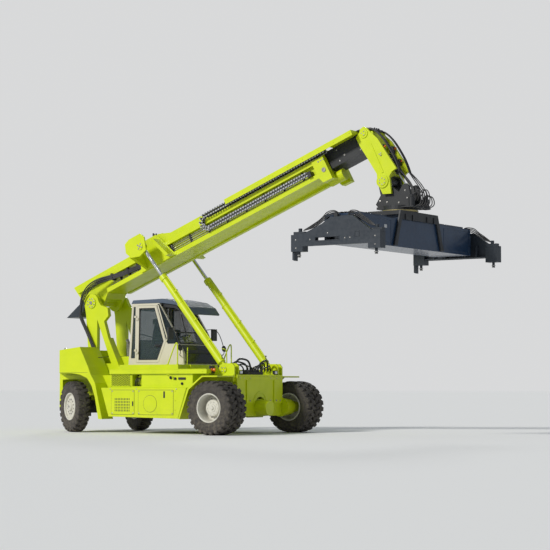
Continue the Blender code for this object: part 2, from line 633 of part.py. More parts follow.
outer += [box((8.0 - 0.03, 8.16), (-BOOM_HALF, BOOM_HALF), (0.06, BOOM_TOP + 0.005)),
          cyl((7.95, -0.08, 0.04), (8.42, -0.08, 0.04), 0.15, 20),
          box((7.90, 8.02), (-0.30, 0.14), (0.0, 0.19)),
          cyl((0, -TOWER_IN - TOWER_T - 0.02, 0), (0, TOWER_IN + TOWER_T + 0.02, 0),
              PIVOT_PIN_R, 20)]
ih = INNER_HALF + 0.012
tail_cut = [(-1.0, -0.5), (0.30, -0.5), (0.30, 0.30), (0.75, 0.66), (0.75, 1.2), (-1.0, 1.2)]
outer_cut = [box((1.0, 9.0), (-ih, ih), (INNER_BOT - GAP, INNER_TOP + 0.012))]
# the tail is two side plates, open above, behind and below
piece("outer_boom", LIME, outer[:-1],
      outer_cut + [plate(tail_cut, -BOOM_HALF + 0.08, BOOM_HALF - 0.08)],
      frame=BOOM, parent=BOOM_AXIS, last=[outer[-1]])

# brackets for the lift rods: an outer cheek, held off the boom by a gusset behind the rod's eye
cheek_in = LIFT_Y + EYE_W / 2 + 0.018
for side_name, sy in (("right", -1), ("left", 1)):
    def span(a, b):
        return tuple(sorted((sy * a, sy * b)))
    cheek = [(1.90, 0.62), (1.95, 0.86), (2.12, 0.93), (2.52, 0.93), (2.62, 0.80), (2.56, 0.44),
             (2.30, 0.36), (2.02, 0.44)]
    gusset = [(STRIP_HALF + GAP, 0.14), (STRIP_HALF + GAP, 0.86), (cheek_in + 0.03, 0.86),
              (cheek_in + 0.03, 0.46), (0.80, 0.30)]
    gusset = [(sy * y, z) for y, z in gusset]
    doubler = [(1.80, 0.13), (1.98, 0.90), (2.60, 0.90), (2.74, 0.70), (3.05, 0.13)]
    brace = [(2.60, 0.72), (2.70, 0.72), (3.02, 0.13), (2.92, 0.13)]
    piece(f"rod_bracket_{side_name}", LIME,
          [plate(cheek, *span(cheek_in, cheek_in + 0.04)),
           plate(gusset, 1.97, 2.05, "X"),
           plate(doubler, *span(STRIP_HALF + GAP, STRIP_HALF + 0.03)),
           plate(brace, *span(STRIP_HALF + 0.01, 0.84))],
          frame=BOOM, parent=BOOM_AXIS)

edge = -0.20 - 2 * GAP          # the tail's slanted edge runs along s + n = -0.20
guard = [(-1.22, 0.07), (-0.66, 0.24), (-0.52, edge + 0.52), (-0.40, edge + 0.40), (-0.75, -0.09)]
piece("hose_guard", SLATE, [plate(guard, -0.36, 0.36)], frame=BOOM, parent=BOOM_AXIS)

# ------------------------------------------------------------------ inner boom, head and tray
EXT_AXIS = empty("extension_axis", BOOM, BOOM_AXIS)
piece("inner_boom", BLACK,
      [box((INNER_REAR, INNER_FRONT), (-INNER_HALF, INNER_HALF), (INNER_BOT, INNER_TOP))],
      [box((INNER_REAR - 0.1, INNER_FRONT - 0.05), (-INNER_HALF + 0.03, INNER_HALF - 0.03),
           (INNER_BOT + 0.03, INNER_TOP - 0.03))],
      frame=BOOM, parent=EXT_AXIS)

arm = [(3.26, 7.44), (3.37, 7.58), (3.38, 7.65), (3.48, 7.71), (3.58, 7.67), (3.69, 7.55),
       (3.89, 7.38), (4.15, 7.00), (4.43, 6.60), (4.30, 6.53), (4.23, 6.42), (4.28, 5.98),
       (4.04, 5.98), (3.89, 6.26), (3.87, 6.49), (3.58, 6.93), (3.40, 7.19)]
arm_b = [to_boom(*p) for p in arm]
web = [to_boom(*p) for p in ((3.44, 7.62), (3.60, 7.58), (3.84, 7.26), (3.74, 7.08), (3.54, 7.24))]
d_s, d_n = to_boom(*DAMPER_TOP)
t_s, t_n = to_boom(*TILT_PIN)
p_s, p_n = to_boom(3.49, 7.54)
head = [plate(arm_b, ARM_IN, ARM_OUT)]
head += [mirrored(head[0])]
head += [plate([(INNER_FRONT + GAP, 0.66), (INNER_FRONT + 0.30, 0.62), (INNER_FRONT + 0.30, 0.25),
                (INNER_FRONT + GAP, 0.28)], -ARM_IN - 0.01, ARM_IN + 0.01),
         plate(web, -ARM_IN - 0.01, ARM_IN + 0.01)]
head += both(cyl((t_s, ARM_OUT - 0.02, t_n), (t_s, ARM_OUT + 0.028, t_n), 0.165, 24))
head += both(cyl((p_s, ARM_OUT - 0.021, p_n), (p_s, ARM_OUT + 0.022, p_n), 0.12, 20))
head += [cyl((t_s, -ARM_IN - 0.02, t_n), (t_s, ARM_IN + 0.02, t_n), TILT_PIN_R, 20),
         cyl((d_s, -ARM_IN - 0.02, d_n), (d_s, ARM_IN + 0.02, d_n), DAMPER_PIN_R, 16)]
piece("boom_head", LIME, head, frame=BOOM, parent=EXT_AXIS)

# tray: a channel beside the boom that the upper run of the hose chain lies in
c_lo, c_hi = CHAIN_Y
tray = [box((5.09, 9.27), (c_lo - 0.030, c_lo - 0.010), (0.655, 0.790)),
        box((5.09, 9.27), (c_lo - 0.030, -BOOM_HALF - 0.012), (0.765, 0.790)),
        box((8.45, 9.27), (c_lo - 0.030, INNER_HALF), (INNER_TOP + GAP, 0.790))]
piece("hose_tray", LIME, tray, frame=BOOM, parent=EXT_AXIS)

# hose chain: the lower run lies on the outer boom, the loop and the upper run ride forward on it
piece("chain_lower", GREY, [box((CHAIN_S, CHAIN_LOW_END), CHAIN_LOW_Y,
                                (CHAIN_N - CHAIN_OUT + 0.005, CHAIN_N - CHAIN_IN - 0.005)),
                            box((CHAIN_LOW_END - 0.10, CHAIN_LOW_END + 0.01),
                                (CHAIN_LOW_Y[0] + 0.01, -BOOM_HALF - 0.02),
                                (STRIP_LOW[1] + GAP, CHAIN_N - CHAIN_IN - 0.02))],
      frame=BOOM, parent=BOOM_AXIS)


def bend(to, slim=0.0):
    """The loop's outline, from its top round to an angle."""
    return [*arc(CHAIN_S, CHAIN_N, CHAIN_OUT - slim, 90, to, 10),
               *arc(CHAIN_S, CHAIN_N, CHAIN_IN + slim, to, 90, 8)]


CHAIN_AXIS = empty("chain_axis", BOOM, BOOM_AXIS)
piece("chain_loop", GREY,
      [box((CHAIN_S - 0.02, CHAIN_UP_END), CHAIN_Y,
           (STRIP_UP[1] + GAP, CHAIN_N + CHAIN_OUT + 0.002)),
       plate(bend(200, 0.005), CHAIN_Y[0] + 0.01, -STRIP_HALF - CLEAR - 0.002),
       plate(bend(270), CHAIN_Y[0] + 0.003, CHAIN_LOW_Y[0] - CLEAR),
       plate(bend(270), CHAIN_LOW_Y[1] + CLEAR, -STRIP_HALF - CLEAR)],
      frame=BOOM, parent=CHAIN_AXIS)

# ------------------------------------------------------------------ lift cylinders
for side_name, sy in (("right", -1), ("left", 1)):
    base = (WORLD @ Matrix.Translation((LIFT_BASE[0], sy * LIFT_Y, LIFT_BASE[1]))
            @ lean(LIFT_ANGLE))
    axis = empty(f"lift_{side_name}_axis", base, CHASSIS_AXIS)
    bore = bored(ROD_R, 24)
    piece(f"lift_barrel_{side_name}", LIME,
          [turned([(0, GLAND), (BARREL_R_TOP + 0.022, GLAND), (BARREL_R_TOP + 0.022, GLAND - 0.12),
                   (BARREL_R_TOP, GLAND - 0.14), (BARREL_R_TOP, BARREL_STEP + 0.03),
                   (BARREL_R, BARREL_STEP), (BARREL_R, 0.24), (BARREL_R - 0.03, 0.20),
                   (0, 0.20)], 24, "X"),
           cyl((0, -EYE_W / 2, 0), (0, EYE_W / 2, 0), EYE_R, 20),
           box((0.01, 0.23), (-EYE_W / 2 + 0.002, EYE_W / 2 - 0.002), (-0.075, 0.075))],
          [cyl((BORE_FROM, 0, 0), (GLAND + 0.1, 0, 0), bore, 24),
           cyl((0, -0.1, 0), (0, 0.1, 0), bored(LIFT_PIN_R, 20), 20)],
          frame=base, parent=axis, smooth=40)
    piece(f"lift_rod_{side_name}", CHROME,
          [cyl((LIFT_LEN - ROD_LEN, 0, 0), (LIFT_LEN - 0.06, 0, 0), ROD_R, 24),
           cyl((LIFT_LEN, -EYE_W / 2, 0), (LIFT_LEN, EYE_W / 2, 0), EYE_R - 0.01, 20)],
          frame=base, parent=axis, smooth=40)

# ------------------------------------------------------------------ rotator bracket and dampers
tilt = WORLD @ Matrix.Translation((TILT_PIN[0], 0, TILT_PIN[1]))
TILT_AXIS = empty("tilt_axis", tilt, EXT_AXIS)


def from_pin(points):
    return [(x - TILT_PIN[0], z - TILT_PIN[1]) for x, z in points]


lug = from_pin([(3.78, 5.74), (3.84, 5.67), (4.86, 5.67), (4.80, 5.80), (4.72, 6.16),
                (4.66, 6.22), (4.56, 6.20), (4.44, 6.02), (4.24, 6.17)])
lug += [(x, z) for x, z in arc(0, 0, TILT_R + 0.02, 0, 180, 8)]
lug += from_pin([(3.86, 6.22), (3.92, 5.96)])
z0, z1 = BRACKET_BASE[0] - TILT_PIN[1], BRACKET_BASE[1] - TILT_PIN[1]
sx = SLEW_X - TILT_PIN[0]
bracket = [plate(lug, *LUG_Y)]
bracket += [mirrored(bracket[0])]
bracket += [cyl((sx, 0, z0), (sx, 0, z1 + 0.02), SLEW_R - 0.02, 32),
            box((-0.22, 0.78), (-INNER_HALF, INNER_HALF), (z0 + 0.005, z1)),
            cyl((0, -LUG_Y[0] - 0.02, 0), (0, LUG_Y[0] + 0.02, 0), 0.125, 20)]
bracket_cut = [cyl((0, -0.5, 0), (0, 0.5, 0), bored(TILT_PIN_R, 20), 20)]
piece("rotator_bracket", BLACK, bracket, bracket_cut, frame=tilt, parent=TILT_AXIS)

d0, d1 = Vector((DAMPER_TOP[0], 0, DAMPER_TOP[1])), Vector((DAMPER_EYE[0], 0, DAMPER_EYE[1]))
span_d = (d1 - d0).length
ang_d = math.degrees(math.atan2(d1.z - d0.z, d1.x - d0.x))
for side_name, sy in (("right", -1), ("left", 1)):
    at = WORLD @ Matrix.Translation((d0.x, sy * DAMPER_Y, d0.z)) @ lean(ang_d)
    axis = empty(f"damper_{side_name}_axis", at, EXT_AXIS)
    piece(f"damper_barrel_{side_name}", BLACK,
          [cyl((0.02, 0, 0), (span_d * 0.62, 0, 0), 0.045, 16),
           cyl((0, -0.05, 0), (0, 0.05, 0), 0.055, 16)],
          [cyl((0.10, 0, 0), (span_d, 0, 0), bored(0.020, 16), 16),
           cyl((0, -0.1, 0), (0, 0.1, 0), bored(DAMPER_PIN_R, 16), 16)], frame=at, parent=axis)
    piece(f"damper_rod_{side_name}", CHROME,
          [cyl((span_d * 0.36, 0, 0), (span_d - 0.02, 0, 0), 0.020, 16),
           cyl((span_d, -0.03, 0), (span_d, 0.03, 0), 0.04, 16)], frame=at, parent=axis)

# ------------------------------------------------------------------ spreader
SLEW = WORLD @ Matrix.Translation((SLEW_X, 0, SLEW_Z[1]))
SLEW_AXIS = empty("slew_axis", SLEW, TILT_AXIS)


def slewed(mesh):
    return moved(mesh, SLEW.inverted() @ WORLD)


s_lo, s_hi = BOX_X[0] - 0.012, BOX_X[1] + 0.012
portal = [(-0.92, SADDLE_TOP[1]), (-1.22, 4.62), (-1.08, 4.62), (-0.86, SADDLE_TOP[0] - 0.12),
          (0.86, SADDLE_TOP[0] - 0.12), (1.08, 4.62), (1.22, 4.62), (0.92, SADDLE_TOP[1])]
saddle = [box((s_lo - 0.04, s_hi + 0.04), (-0.92, 0.92), SADDLE_TOP),
          plate(portal, s_lo - 0.04, s_lo, "X"), plate(portal, s_hi, s_hi + 0.04, "X"),
          cyl((SLEW_X, 0, SLEW_Z[0] - 0.01), (SLEW_X, 0, SLEW_Z[1]), SLEW_R, 32)]
piece("saddle", BLACK, [slewed(m) for m in saddle], frame=SLEW, parent=SLEW_AXIS)

SHIFT_AXIS = empty("side_shift_axis", SLEW, SLEW_AXIS)
wall = BOX_WALL
midx = (BOX_X[0] + BOX_X[1]) / 2
tun_front = (midx + wall / 2, BOX_X[1] - wall)
tun_rear = (BOX_X[0] + wall, midx - wall / 2)
tun_z = (BOX_Z[0] + wall, BOX_Z[1] - wall)
main = [box(BOX_X, (-BOX_HALF_Y, BOX_HALF_Y), BOX_Z)]
main += [box((BOX_X[0] + 0.06, BOX_X[1] - 0.06), (-0.80, 0.80), (BOX_Z[1] - 0.01,
                                                              SADDLE_TOP[0] - GAP))]
main_cut = [box(tun_front, (-4, 4), tun_z), box(tun_rear, (-4, 4), tun_z)]
piece("spreader_frame", NAVY, [slewed(m) for m in main], [slewed(m) for m in main_cut],
      frame=SLEW, parent=SHIFT_AXIS)

end = [(SPREADER_REAR, 4.82), (SPREADER_REAR, 4.42), (SPREADER_REAR + CORNER_L, 4.42),
       (SPREADER_REAR + CORNER_L, 4.54), (SPREADER_FRONT - CORNER_L, 4.54),
       (SPREADER_FRONT - CORNER_L, 4.42), (SPREADER_FRONT, 4.42), (SPREADER_FRONT, 4.84),
       (5.31, 4.85), (4.83, 5.19), (4.80, 5.20), (4.20, 5.20), (3.96, 5.05), (3.42, 4.83)]
slot = [(3.78, 4.66), (4.43, 4.66), (4.43, 4.73), (3.78, 4.73)]
for side_name, sy, tun in (("right", -1, tun_front), ("left", 1, tun_rear)):
    def span(a, b):
        return tuple(sorted((sy * a, sy * b)))
    bx = (tun[0] + BEAM_CLEAR, tun[1] - BEAM_CLEAR)
    bz = (tun_z[0] + GAP, tun_z[1] - BEAM_CLEAR)
    parts = [plate(end, *span(END_Y - END_T, END_Y)),
             box(bx, span(-2.45, END_Y - END_T + 0.01), bz)]
    for x0, x1 in ((SPREADER_REAR, SPREADER_REAR + CORNER_L),
                   (SPREADER_FRONT - CORNER_L, SPREADER_FRONT)):
        parts.append(box((x0, x1), span(END_Y - 0.24, END_Y - 0.05), (4.42, 4.80)))
        xm = (x0 + x1) / 2
        parts.append(cyl((xm, sy * (END_Y - 0.11), 4.31), (xm, sy * (END_Y - 0.11), 4.43), 0.035,
                         12))
    parts.append(plate([(SPREADER_REAR - 0.0, 4.60), (SPREADER_REAR - 0.0, 4.23),
                        (SPREADER_REAR + 0.05, 4.21), (SPREADER_REAR + 0.06, 4.60)],
                       *span(END_Y - 0.22, END_Y - 0.06)))
    axis = empty(f"beam_{side_name}_axis", SLEW, SHIFT_AXIS)
    piece(f"beam_{side_name}", SLATE, [slewed(m) for m in parts],
          [slewed(plate(slot, *span(END_Y - END_T - 0.02, END_Y + 0.02)))],
          frame=SLEW, parent=axis)

bpy.context.view_layer.update()
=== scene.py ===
"""The looks of a reach stacker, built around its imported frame.

Sizes are in metres in the frame's own axes: +X the way it drives, +Y its left, +Z up. Chassis
sizes are written from the front axle, boom sizes along (s) and square to (n) the boom.
"""
import json
import logging
import math
import random
from dataclasses import dataclass, field
from enum import Enum
from typing import Dict, Iterable, List, Optional, Sequence, Tuple

import bmesh
import bpy
from mathutils import Matrix, Vector

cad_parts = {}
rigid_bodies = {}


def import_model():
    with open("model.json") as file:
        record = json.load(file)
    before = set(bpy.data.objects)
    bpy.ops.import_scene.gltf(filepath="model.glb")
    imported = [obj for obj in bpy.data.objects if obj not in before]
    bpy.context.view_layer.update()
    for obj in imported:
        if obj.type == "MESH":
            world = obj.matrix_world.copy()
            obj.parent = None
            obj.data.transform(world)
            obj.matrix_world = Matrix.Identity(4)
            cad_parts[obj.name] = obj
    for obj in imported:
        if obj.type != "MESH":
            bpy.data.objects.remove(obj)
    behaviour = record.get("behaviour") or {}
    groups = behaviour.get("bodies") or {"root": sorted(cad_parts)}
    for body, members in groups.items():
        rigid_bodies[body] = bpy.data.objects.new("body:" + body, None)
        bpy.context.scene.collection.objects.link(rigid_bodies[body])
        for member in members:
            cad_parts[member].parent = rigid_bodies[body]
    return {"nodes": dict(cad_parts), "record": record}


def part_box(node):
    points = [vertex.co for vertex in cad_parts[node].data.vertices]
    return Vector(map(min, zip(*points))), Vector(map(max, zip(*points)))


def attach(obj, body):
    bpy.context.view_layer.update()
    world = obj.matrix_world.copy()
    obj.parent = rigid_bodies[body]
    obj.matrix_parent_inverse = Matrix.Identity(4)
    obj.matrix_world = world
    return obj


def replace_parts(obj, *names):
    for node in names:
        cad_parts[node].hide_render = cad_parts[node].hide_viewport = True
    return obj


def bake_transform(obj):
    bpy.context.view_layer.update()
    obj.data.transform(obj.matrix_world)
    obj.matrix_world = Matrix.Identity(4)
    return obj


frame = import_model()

LOG = logging.getLogger("reach_stacker")
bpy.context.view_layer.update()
Colour = Tuple[float, float, float]
Point = Tuple[float, float, float]
Flat = Tuple[float, float]
SIDES = (("right", -1), ("left", 1))
CYLINDER_FOOT: Flat = (-0.28, 1.66)
CYLINDER_LEAN = math.radians(130.1)
CYLINDER_REACH = 4.3
ALONG_X = Matrix.Rotation(math.pi / 2, 4, "Y")


class Across(Enum):
    """The axis that a flat outline is thick along."""

    X = "x"
    Y = "y"
    Z = "z"


# ---------------------------------------------------------------------------- places
@dataclass
class Places:
    """Turns the machine's own measures into the frame's coordinates."""

    joints: Dict[str, dict] = field(default_factory=dict)

    def __post_init__(self) -> None:
        """Reads the joints and fixes the front axle and the boom."""
        self.joints = {j["name"]: j for j in frame["record"]["behaviour"]["joints"]}
        lo, hi = (Vector(v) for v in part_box("tyre_front_right_outer"))
        self.axle_x = (lo.x + hi.x) / 2
        along = Vector(self.joints["boom_extend"]["axis"])
        pivot = Vector(self.joints["boom_lift"]["pos_m"])
        lean = -math.atan2(along.z, along.x)
        self.boom = Matrix.Translation(pivot) @ Matrix.Rotation(lean, 4, "Y")
        self.chassis = Matrix.Translation((self.axle_x, 0, 0))

    def at(self, x: float, y: float, z: float) -> Vector:
        """A place measured from the front axle."""
        return Vector((x + self.axle_x, y, z))

    def on_boom(self, s: float, y: float, n: float) -> Vector:
        """A place measured along and square to the boom."""
        return self.boom @ Vector((s, y, n))

    def wheel(self, node: str, joint: str, outward: int) -> Matrix:
        """The frame of a wheel, its +Z pointing out of the machine.

        Args:
            node: The wheel's node, whose middle is the frame's origin.
            joint: The wheel's joint, for its axis.
            outward: -1 on the right of the machine and 1 on its left.

        Returns:
            The wheel's matrix.
        """
        lo, hi = (Vector(v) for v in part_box(node))
        axis = Vector(self.joints[joint]["axis"]) * outward
        turn = axis.to_track_quat("Z", "X").to_matrix().to_4x4()
        return Matrix.Translation((lo + hi) / 2) @ turn


PLACES = Places()


# ---------------------------------------------------------------------------- finishes
@dataclass(frozen=True)
class Finish:
    """A procedural finish: a colour that wanders, a roughness that wanders and a fine bump."""

    name: str
    colour: Colour
    second: Colour
    rough: float
    slot: str
    rough_span: float = 0.08
    metal: float = 0.0
    coat: float = 0.0
    cloud: float = 2.5
    grain: float = 90.0
    bump: float = 0.04
    dust: float = 0.0
    dust_top: float = 1.2
    alpha: float = 1.0

    def material(self) -> bpy.types.Material:
        """The finish as a material, made once."""
        made = bpy.data.materials.get(self.name)
        return made if made else self._build()

    def _build(self) -> bpy.types.Material:
        """Makes the material's nodes.

        Returns:
            The new material.
        """
        mat = bpy.data.materials.new(self.name)
        mat.use_nodes = True
        nodes, links = mat.node_tree.nodes, mat.node_tree.links
        shader = nodes["Principled BSDF"]
        place = nodes.new("ShaderNodeTexCoord").outputs["Object"]
        shader.inputs["Metallic"].default_value = self.metal
        shader.inputs["Coat Weight"].default_value = self.coat
        shader.inputs["Coat Roughness"].default_value = 0.12
        shader.inputs["Alpha"].default_value = self.alpha

        def noise(scale: float, detail: float = 4.0) -> bpy.types.NodeSocket:
            """A noise texture's value at the surface.

            Args:
                scale: How fine the noise is.
                detail: How many octaves it has.

            Returns:
                The noise's value, from 0 to 1.
            """
            tex = nodes.new("ShaderNodeTexNoise")
            tex.inputs["Scale"].default_value = scale
            tex.inputs["Detail"].default_value = detail
            links.new(place, tex.inputs["Vector"])
            return tex.outputs["Fac"]

        def remap(value: bpy.types.NodeSocket, lo: float, hi: float, a: float,
                  b: float) -> bpy.types.NodeSocket:
            """A value moved from one range to another, and clamped to it.

            Args:
                value: The value to move.
                lo: The low end of its range.
                hi: The high end of its range.
                a: What the low end becomes.
                b: What the high end becomes.

            Returns:
                The moved value.
            """
            node = nodes.new("ShaderNodeMapRange")
            for key, amount in zip(("From Min", "From Max", "To Min", "To Max"), (lo, hi, a, b)):
                node.inputs[key].default_value = amount
            links.new(value, node.inputs["Value"])
            return node.outputs["Result"]

        def mix(fac: bpy.types.NodeSocket, a: object, b: Colour) -> bpy.types.NodeSocket:
            """Two colours mixed; the first may be a socket.

            Args:
                fac: The share of the second colour.
                a: The first colour, or its socket.
                b: The second colour.

            Returns:
                The mixed colour.
            """
            node = nodes.new("ShaderNodeMix")
            node.data_type = "RGBA"
            links.new(fac, node.inputs["Factor"])
            if isinstance(a, bpy.types.NodeSocket):
                links.new(a, node.inputs["A"])
            else:
                node.inputs["A"].default_value = (*a, 1)
            node.inputs["B"].default_value = (*b, 1)
            return node.outputs["Result"]

        colour = mix(remap(noise(self.cloud), 0.35, 0.65, 0, 1), self.colour, self.second)
        if self.dust:
            height = nodes.new("ShaderNodeSeparateXYZ")
            links.new(place, height.inputs["Vector"])
            low = remap(height.outputs["Z"], 0.0, self.dust_top, self.dust, 0.0)
            spread = nodes.new("ShaderNodeMath")
            spread.operation = "MULTIPLY"
            links.new(low, spread.inputs[0])
            links.new(remap(noise(14.0, 6.0), 0.4, 0.7, 0, 1), spread.inputs[1])
            colour = mix(spread.outputs["Value"], colour, (0.20, 0.17, 0.12))
        links.new(colour, shader.inputs["Base Color"])
        rough = remap(noise(self.grain / 6), 0.3, 0.7, self.rough - self.rough_span,
                      self.rough + self.rough_span)
        links.new(rough, shader.inputs["Roughness"])
        bump = nodes.new("ShaderNodeBump")
        bump.inputs["Strength"].default_value = self.bump
        bump.inputs["Distance"].default_value = 0.01
        links.new(noise(self.grain), bump.inputs["Height"])
        links.new(bump.outputs["Normal"], shader.inputs["Normal"])
        return mat


LIME = Finish("lime_gloss", (0.60, 0.70, 0.0), (0.55, 0.66, 0.0), 0.42, "lime_paint", coat=0.12,
              dust=0.25, dust_top=0.9, grain=28, bump=0.004)
RUBBER = Finish("rubber_worn", (0.036, 0.032, 0.030), (0.062, 0.055, 0.049), 0.82, "tyre",
                bump=0.35, grain=120, cloud=6, dust=0.5, dust_top=1.6)
RIM = Finish("rim_cream", (0.66, 0.65, 0.58), (0.60, 0.58, 0.50), 0.42, "rim_paint", dust=0.35,
             dust_top=1.2, grain=70)
CREAM = Finish("cab_cream", (0.62, 0.58, 0.47), (0.58, 0.54, 0.43), 0.38, "cream_paint", coat=0.3)
BLACK = Finish("black_satin", (0.014, 0.015, 0.018), (0.022, 0.024, 0.027), 0.48, "black_steel",
               bump=0.08)
NAVY = Finish("blue_black", (0.008, 0.026, 0.064), (0.011, 0.034, 0.080), 0.36, "navy_paint",
              coat=0.3)
SLATE = Finish("slate", (0.020, 0.027, 0.038), (0.027, 0.035, 0.047), 0.42, "slate_paint")
CHROME = Finish("rod_chrome", (0.78, 0.79, 0.80), (0.70, 0.71, 0.73), 0.10, "chrome",
                rough_span=0.04, metal=1.0, bump=0.01)
STEEL = Finish("bare_steel", (0.52, 0.51, 0.49), (0.42, 0.40, 0.37), 0.34, "chrome", metal=0.9)
GLASS = Finish("tinted_glass", (0.035, 0.060, 0.065), (0.040, 0.066, 0.070), 0.05, "glass",
               rough_span=0.02, bump=0.0, alpha=0.42, coat=1.0)
ROOF = Finish("roof_shell", (0.060, 0.085, 0.130), (0.072, 0.098, 0.145), 0.55, "roof_plastic")
CLOTH = Finish("seat_cloth", (0.030, 0.030, 0.034), (0.055, 0.055, 0.060), 0.92, "seat_fabric",
               bump=0.6, grain=420, cloud=30)
HOSE = Finish("hose_rubber", (0.018, 0.018, 0.020), (0.030, 0.030, 0.032), 0.5, "black_steel",
              bump=0.12, grain=260)
LINK_GREY = Finish("link_grey", (0.50, 0.51, 0.52), (0.42, 0.43, 0.45), 0.5, "light_grey")
LINK_BLACK = Finish("link_black", (0.020, 0.021, 0.022), (0.03, 0.03, 0.032), 0.55, "black_steel")
RUBBER_SEAL = Finish("seal_rubber", (0.012, 0.012, 0.013), (0.02, 0.02, 0.02), 0.7, "black_steel")
ORANGE = Finish("amber_lens", (0.85, 0.20, 0.02), (0.75, 0.16, 0.02), 0.18, "lime_paint", coat=0.8)
RED = Finish("red_lens", (0.55, 0.01, 0.01), (0.45, 0.01, 0.01), 0.18, "lime_paint", coat=0.8)
LENS = Finish("lamp_lens", (0.80, 0.82, 0.84), (0.70, 0.72, 0.75), 0.12, "chrome", coat=0.8)
BRASS = Finish("zinc_fitting", (0.60, 0.50, 0.22), (0.50, 0.42, 0.20), 0.32, "chrome", metal=0.9)
SCREEN = Finish("display", (0.007, 0.013, 0.016), (0.010, 0.018, 0.022), 0.16, "glass")

NODE_FINISH = {f.slot: f for f in (LIME, RUBBER, RIM, CREAM, BLACK, NAVY, SLATE, CHROME, GLASS,
                                   ROOF, CLOTH, LINK_GREY)}


# ---------------------------------------------------------------------------- mesh work
class Shape:
    """A mesh under construction, drawn in a frame of its own."""

    def __init__(self, place: Optional[Matrix] = None) -> None:
        """Starts an empty mesh.

        Args:
            place: Where the shape's own axes lie in the frame; the chassis's when left out.
        """
        self.bm = bmesh.new()
        self.place = (place or PLACES.chassis).copy()

    def box(self, lo: Sequence[float], hi: Sequence[float]) -> "Shape":
        """Adds a block between two corners.

        Args:
            lo: One corner.
            hi: The corner opposite.

        Returns:
            This shape, so that calls can follow one another.
        """
        lo, hi = Vector(lo), Vector(hi)
        size = Matrix.Diagonal((*(abs(b - a) for a, b in zip(lo, hi)), 1))
        bmesh.ops.create_cube(self.bm, size=1.0, matrix=Matrix.Translation((lo + hi) / 2) @ size)
        return self

    def rod(self, a: Sequence[float], b: Sequence[float], r: float, segs: int = 16,
            r2: Optional[float] = None) -> "Shape":
        """Adds a cylinder, or a cone with r2, between two points.

        Args:
            a: The middle of one end.
            b: The middle of the other.
            r: The radius.
            segs: How many sides it has.
            r2: The radius at b, where it differs.

        Returns:
            This shape, so that calls can follow one another.
        """
        a, b = Vector(a), Vector(b)
        turn = (b - a).to_track_quat("Z", "Y").to_matrix().to_4x4()
        bmesh.ops.create_cone(self.bm, cap_ends=True, segments=segs, radius1=r,
                              radius2=r if r2 is None else r2, depth=(b - a).length,
                              matrix=Matrix.Translation((a + b) / 2) @ turn)
        return self

    def plate(self, points: Sequence[Flat], lo: float, hi: float,
              across: Across = Across.Y) -> "Shape":
        """Adds a flat outline, thick from lo to hi along one axis.

        Args:
            points: The outline, in the two other axes.
            lo: Where its thickness starts.
            hi: Where it ends.
            across: The axis that it is thick along.

        Returns:
            This shape, so that calls can follow one another.
        """
        def put(p: Flat, t: float) -> Point:
            """A point of the outline at one depth."""
            if across is Across.Y:
                return (p[0], t, p[1])
            return (t, p[0], p[1]) if across is Across.X else (p[0], p[1], t)

        low = [self.bm.verts.new(put(p, lo)) for p in points]
        high = [self.bm.verts.new(put(p, hi)) for p in points]
        self.bm.faces.new(low)
        self.bm.faces.new(list(reversed(high)))
        for i in range(len(points)):
            j = (i + 1) % len(points)
            self.bm.faces.new((low[j], low[i], high[i], high[j]))
        return self

    def turned(self, profile: Sequence[Flat], at: Matrix = Matrix(), segs: int = 48) -> "Shape":
        """Adds a closed (radius, height) profile turned about the local Z of at.

        Args:
            profile: The closed profile.
            at: The frame that it turns in.
            segs: How many sides it has.

        Returns:
            This shape, so that calls can follow one another.
        """
        rings = []
        for i in range(segs):
            a = 2 * math.pi * i / segs
            rings.append([self.bm.verts.new(at @ Vector((r * math.cos(a), r * math.sin(a), h)))
                          for r, h in profile])
        n = len(profile)
        for i in range(segs):
            p, q = rings[i], rings[(i + 1) % segs]
            for k in range(n):
                m = (k + 1) % n
                self.bm.faces.new((p[k], q[k], q[m], p[m]))
        return self

    def loft(self, rings: Sequence[Sequence[Vector]]) -> "Shape":
        """Adds a closed skin through rings of the same number of points.

        Args:
            rings: The rings, in order along the skin.

        Returns:
            This shape, so that calls can follow one another.
        """
        made = [[self.bm.verts.new(p) for p in ring] for ring in rings]
        n = len(made[0])
        self.bm.faces.new(made[0])
        self.bm.faces.new(list(reversed(made[-1])))
        for p, q in zip(made, made[1:]):
            for k in range(n):
                m = (k + 1) % n
                self.bm.faces.new((p[m], p[k], q[k], q[m]))
        return self

    def rods(self, x: float, z: float, ends: Iterable[Flat], r: float, segs: int = 16) -> "Shape":
        """Adds rods of one radius and place that lie across the machine, each from y to y.

        Args:
            x: Where they lie, along the machine.
            z: How high they lie.
            ends: Where each starts and ends, across the machine.
            r: Their radius.
            segs: How many sides they have.

        Returns:
            This shape, so that calls can follow one another.
        """
        for ya, yb in ends:
            self.rod((x, ya, z), (x, yb, z), r, segs)
        return self

    def bolt(self, at: Sequence[float], out: Sequence[float], r: float = 0.016) -> "Shape":
        """Adds a hexagon head on its washer.

        Args:
            at: Where it sits.
            out: The way its head points.
            r: The head's radius.

        Returns:
            This shape, so that calls can follow one another.
        """
        at, out = Vector(at), Vector(out).normalized()
        self.rod(at, at + out * r * 0.25, r * 1.6, 14)
        return self.rod(at, at + out * r * 0.95, r, 6)

    def bolts(self, centre: Sequence[float], out: Sequence[float], pitch: float, count: int,
              r: float = 0.016) -> "Shape":
        """Adds a circle of hexagon heads.

        Args:
            centre: The circle's middle.
            out: The way the heads point.
            pitch: The circle's radius.
            count: How many there are.
            r: A head's radius.

        Returns:
            This shape, so that calls can follow one another.
        """
        turn = Vector(out).to_track_quat("Z", "Y").to_matrix()
        for i in range(count):
            a = 2 * math.pi * (i + 0.5) / count
            spot = Vector(centre) + turn @ Vector((pitch * math.cos(a), pitch * math.sin(a), 0))
            self.bolt(spot, out, r)
        return self

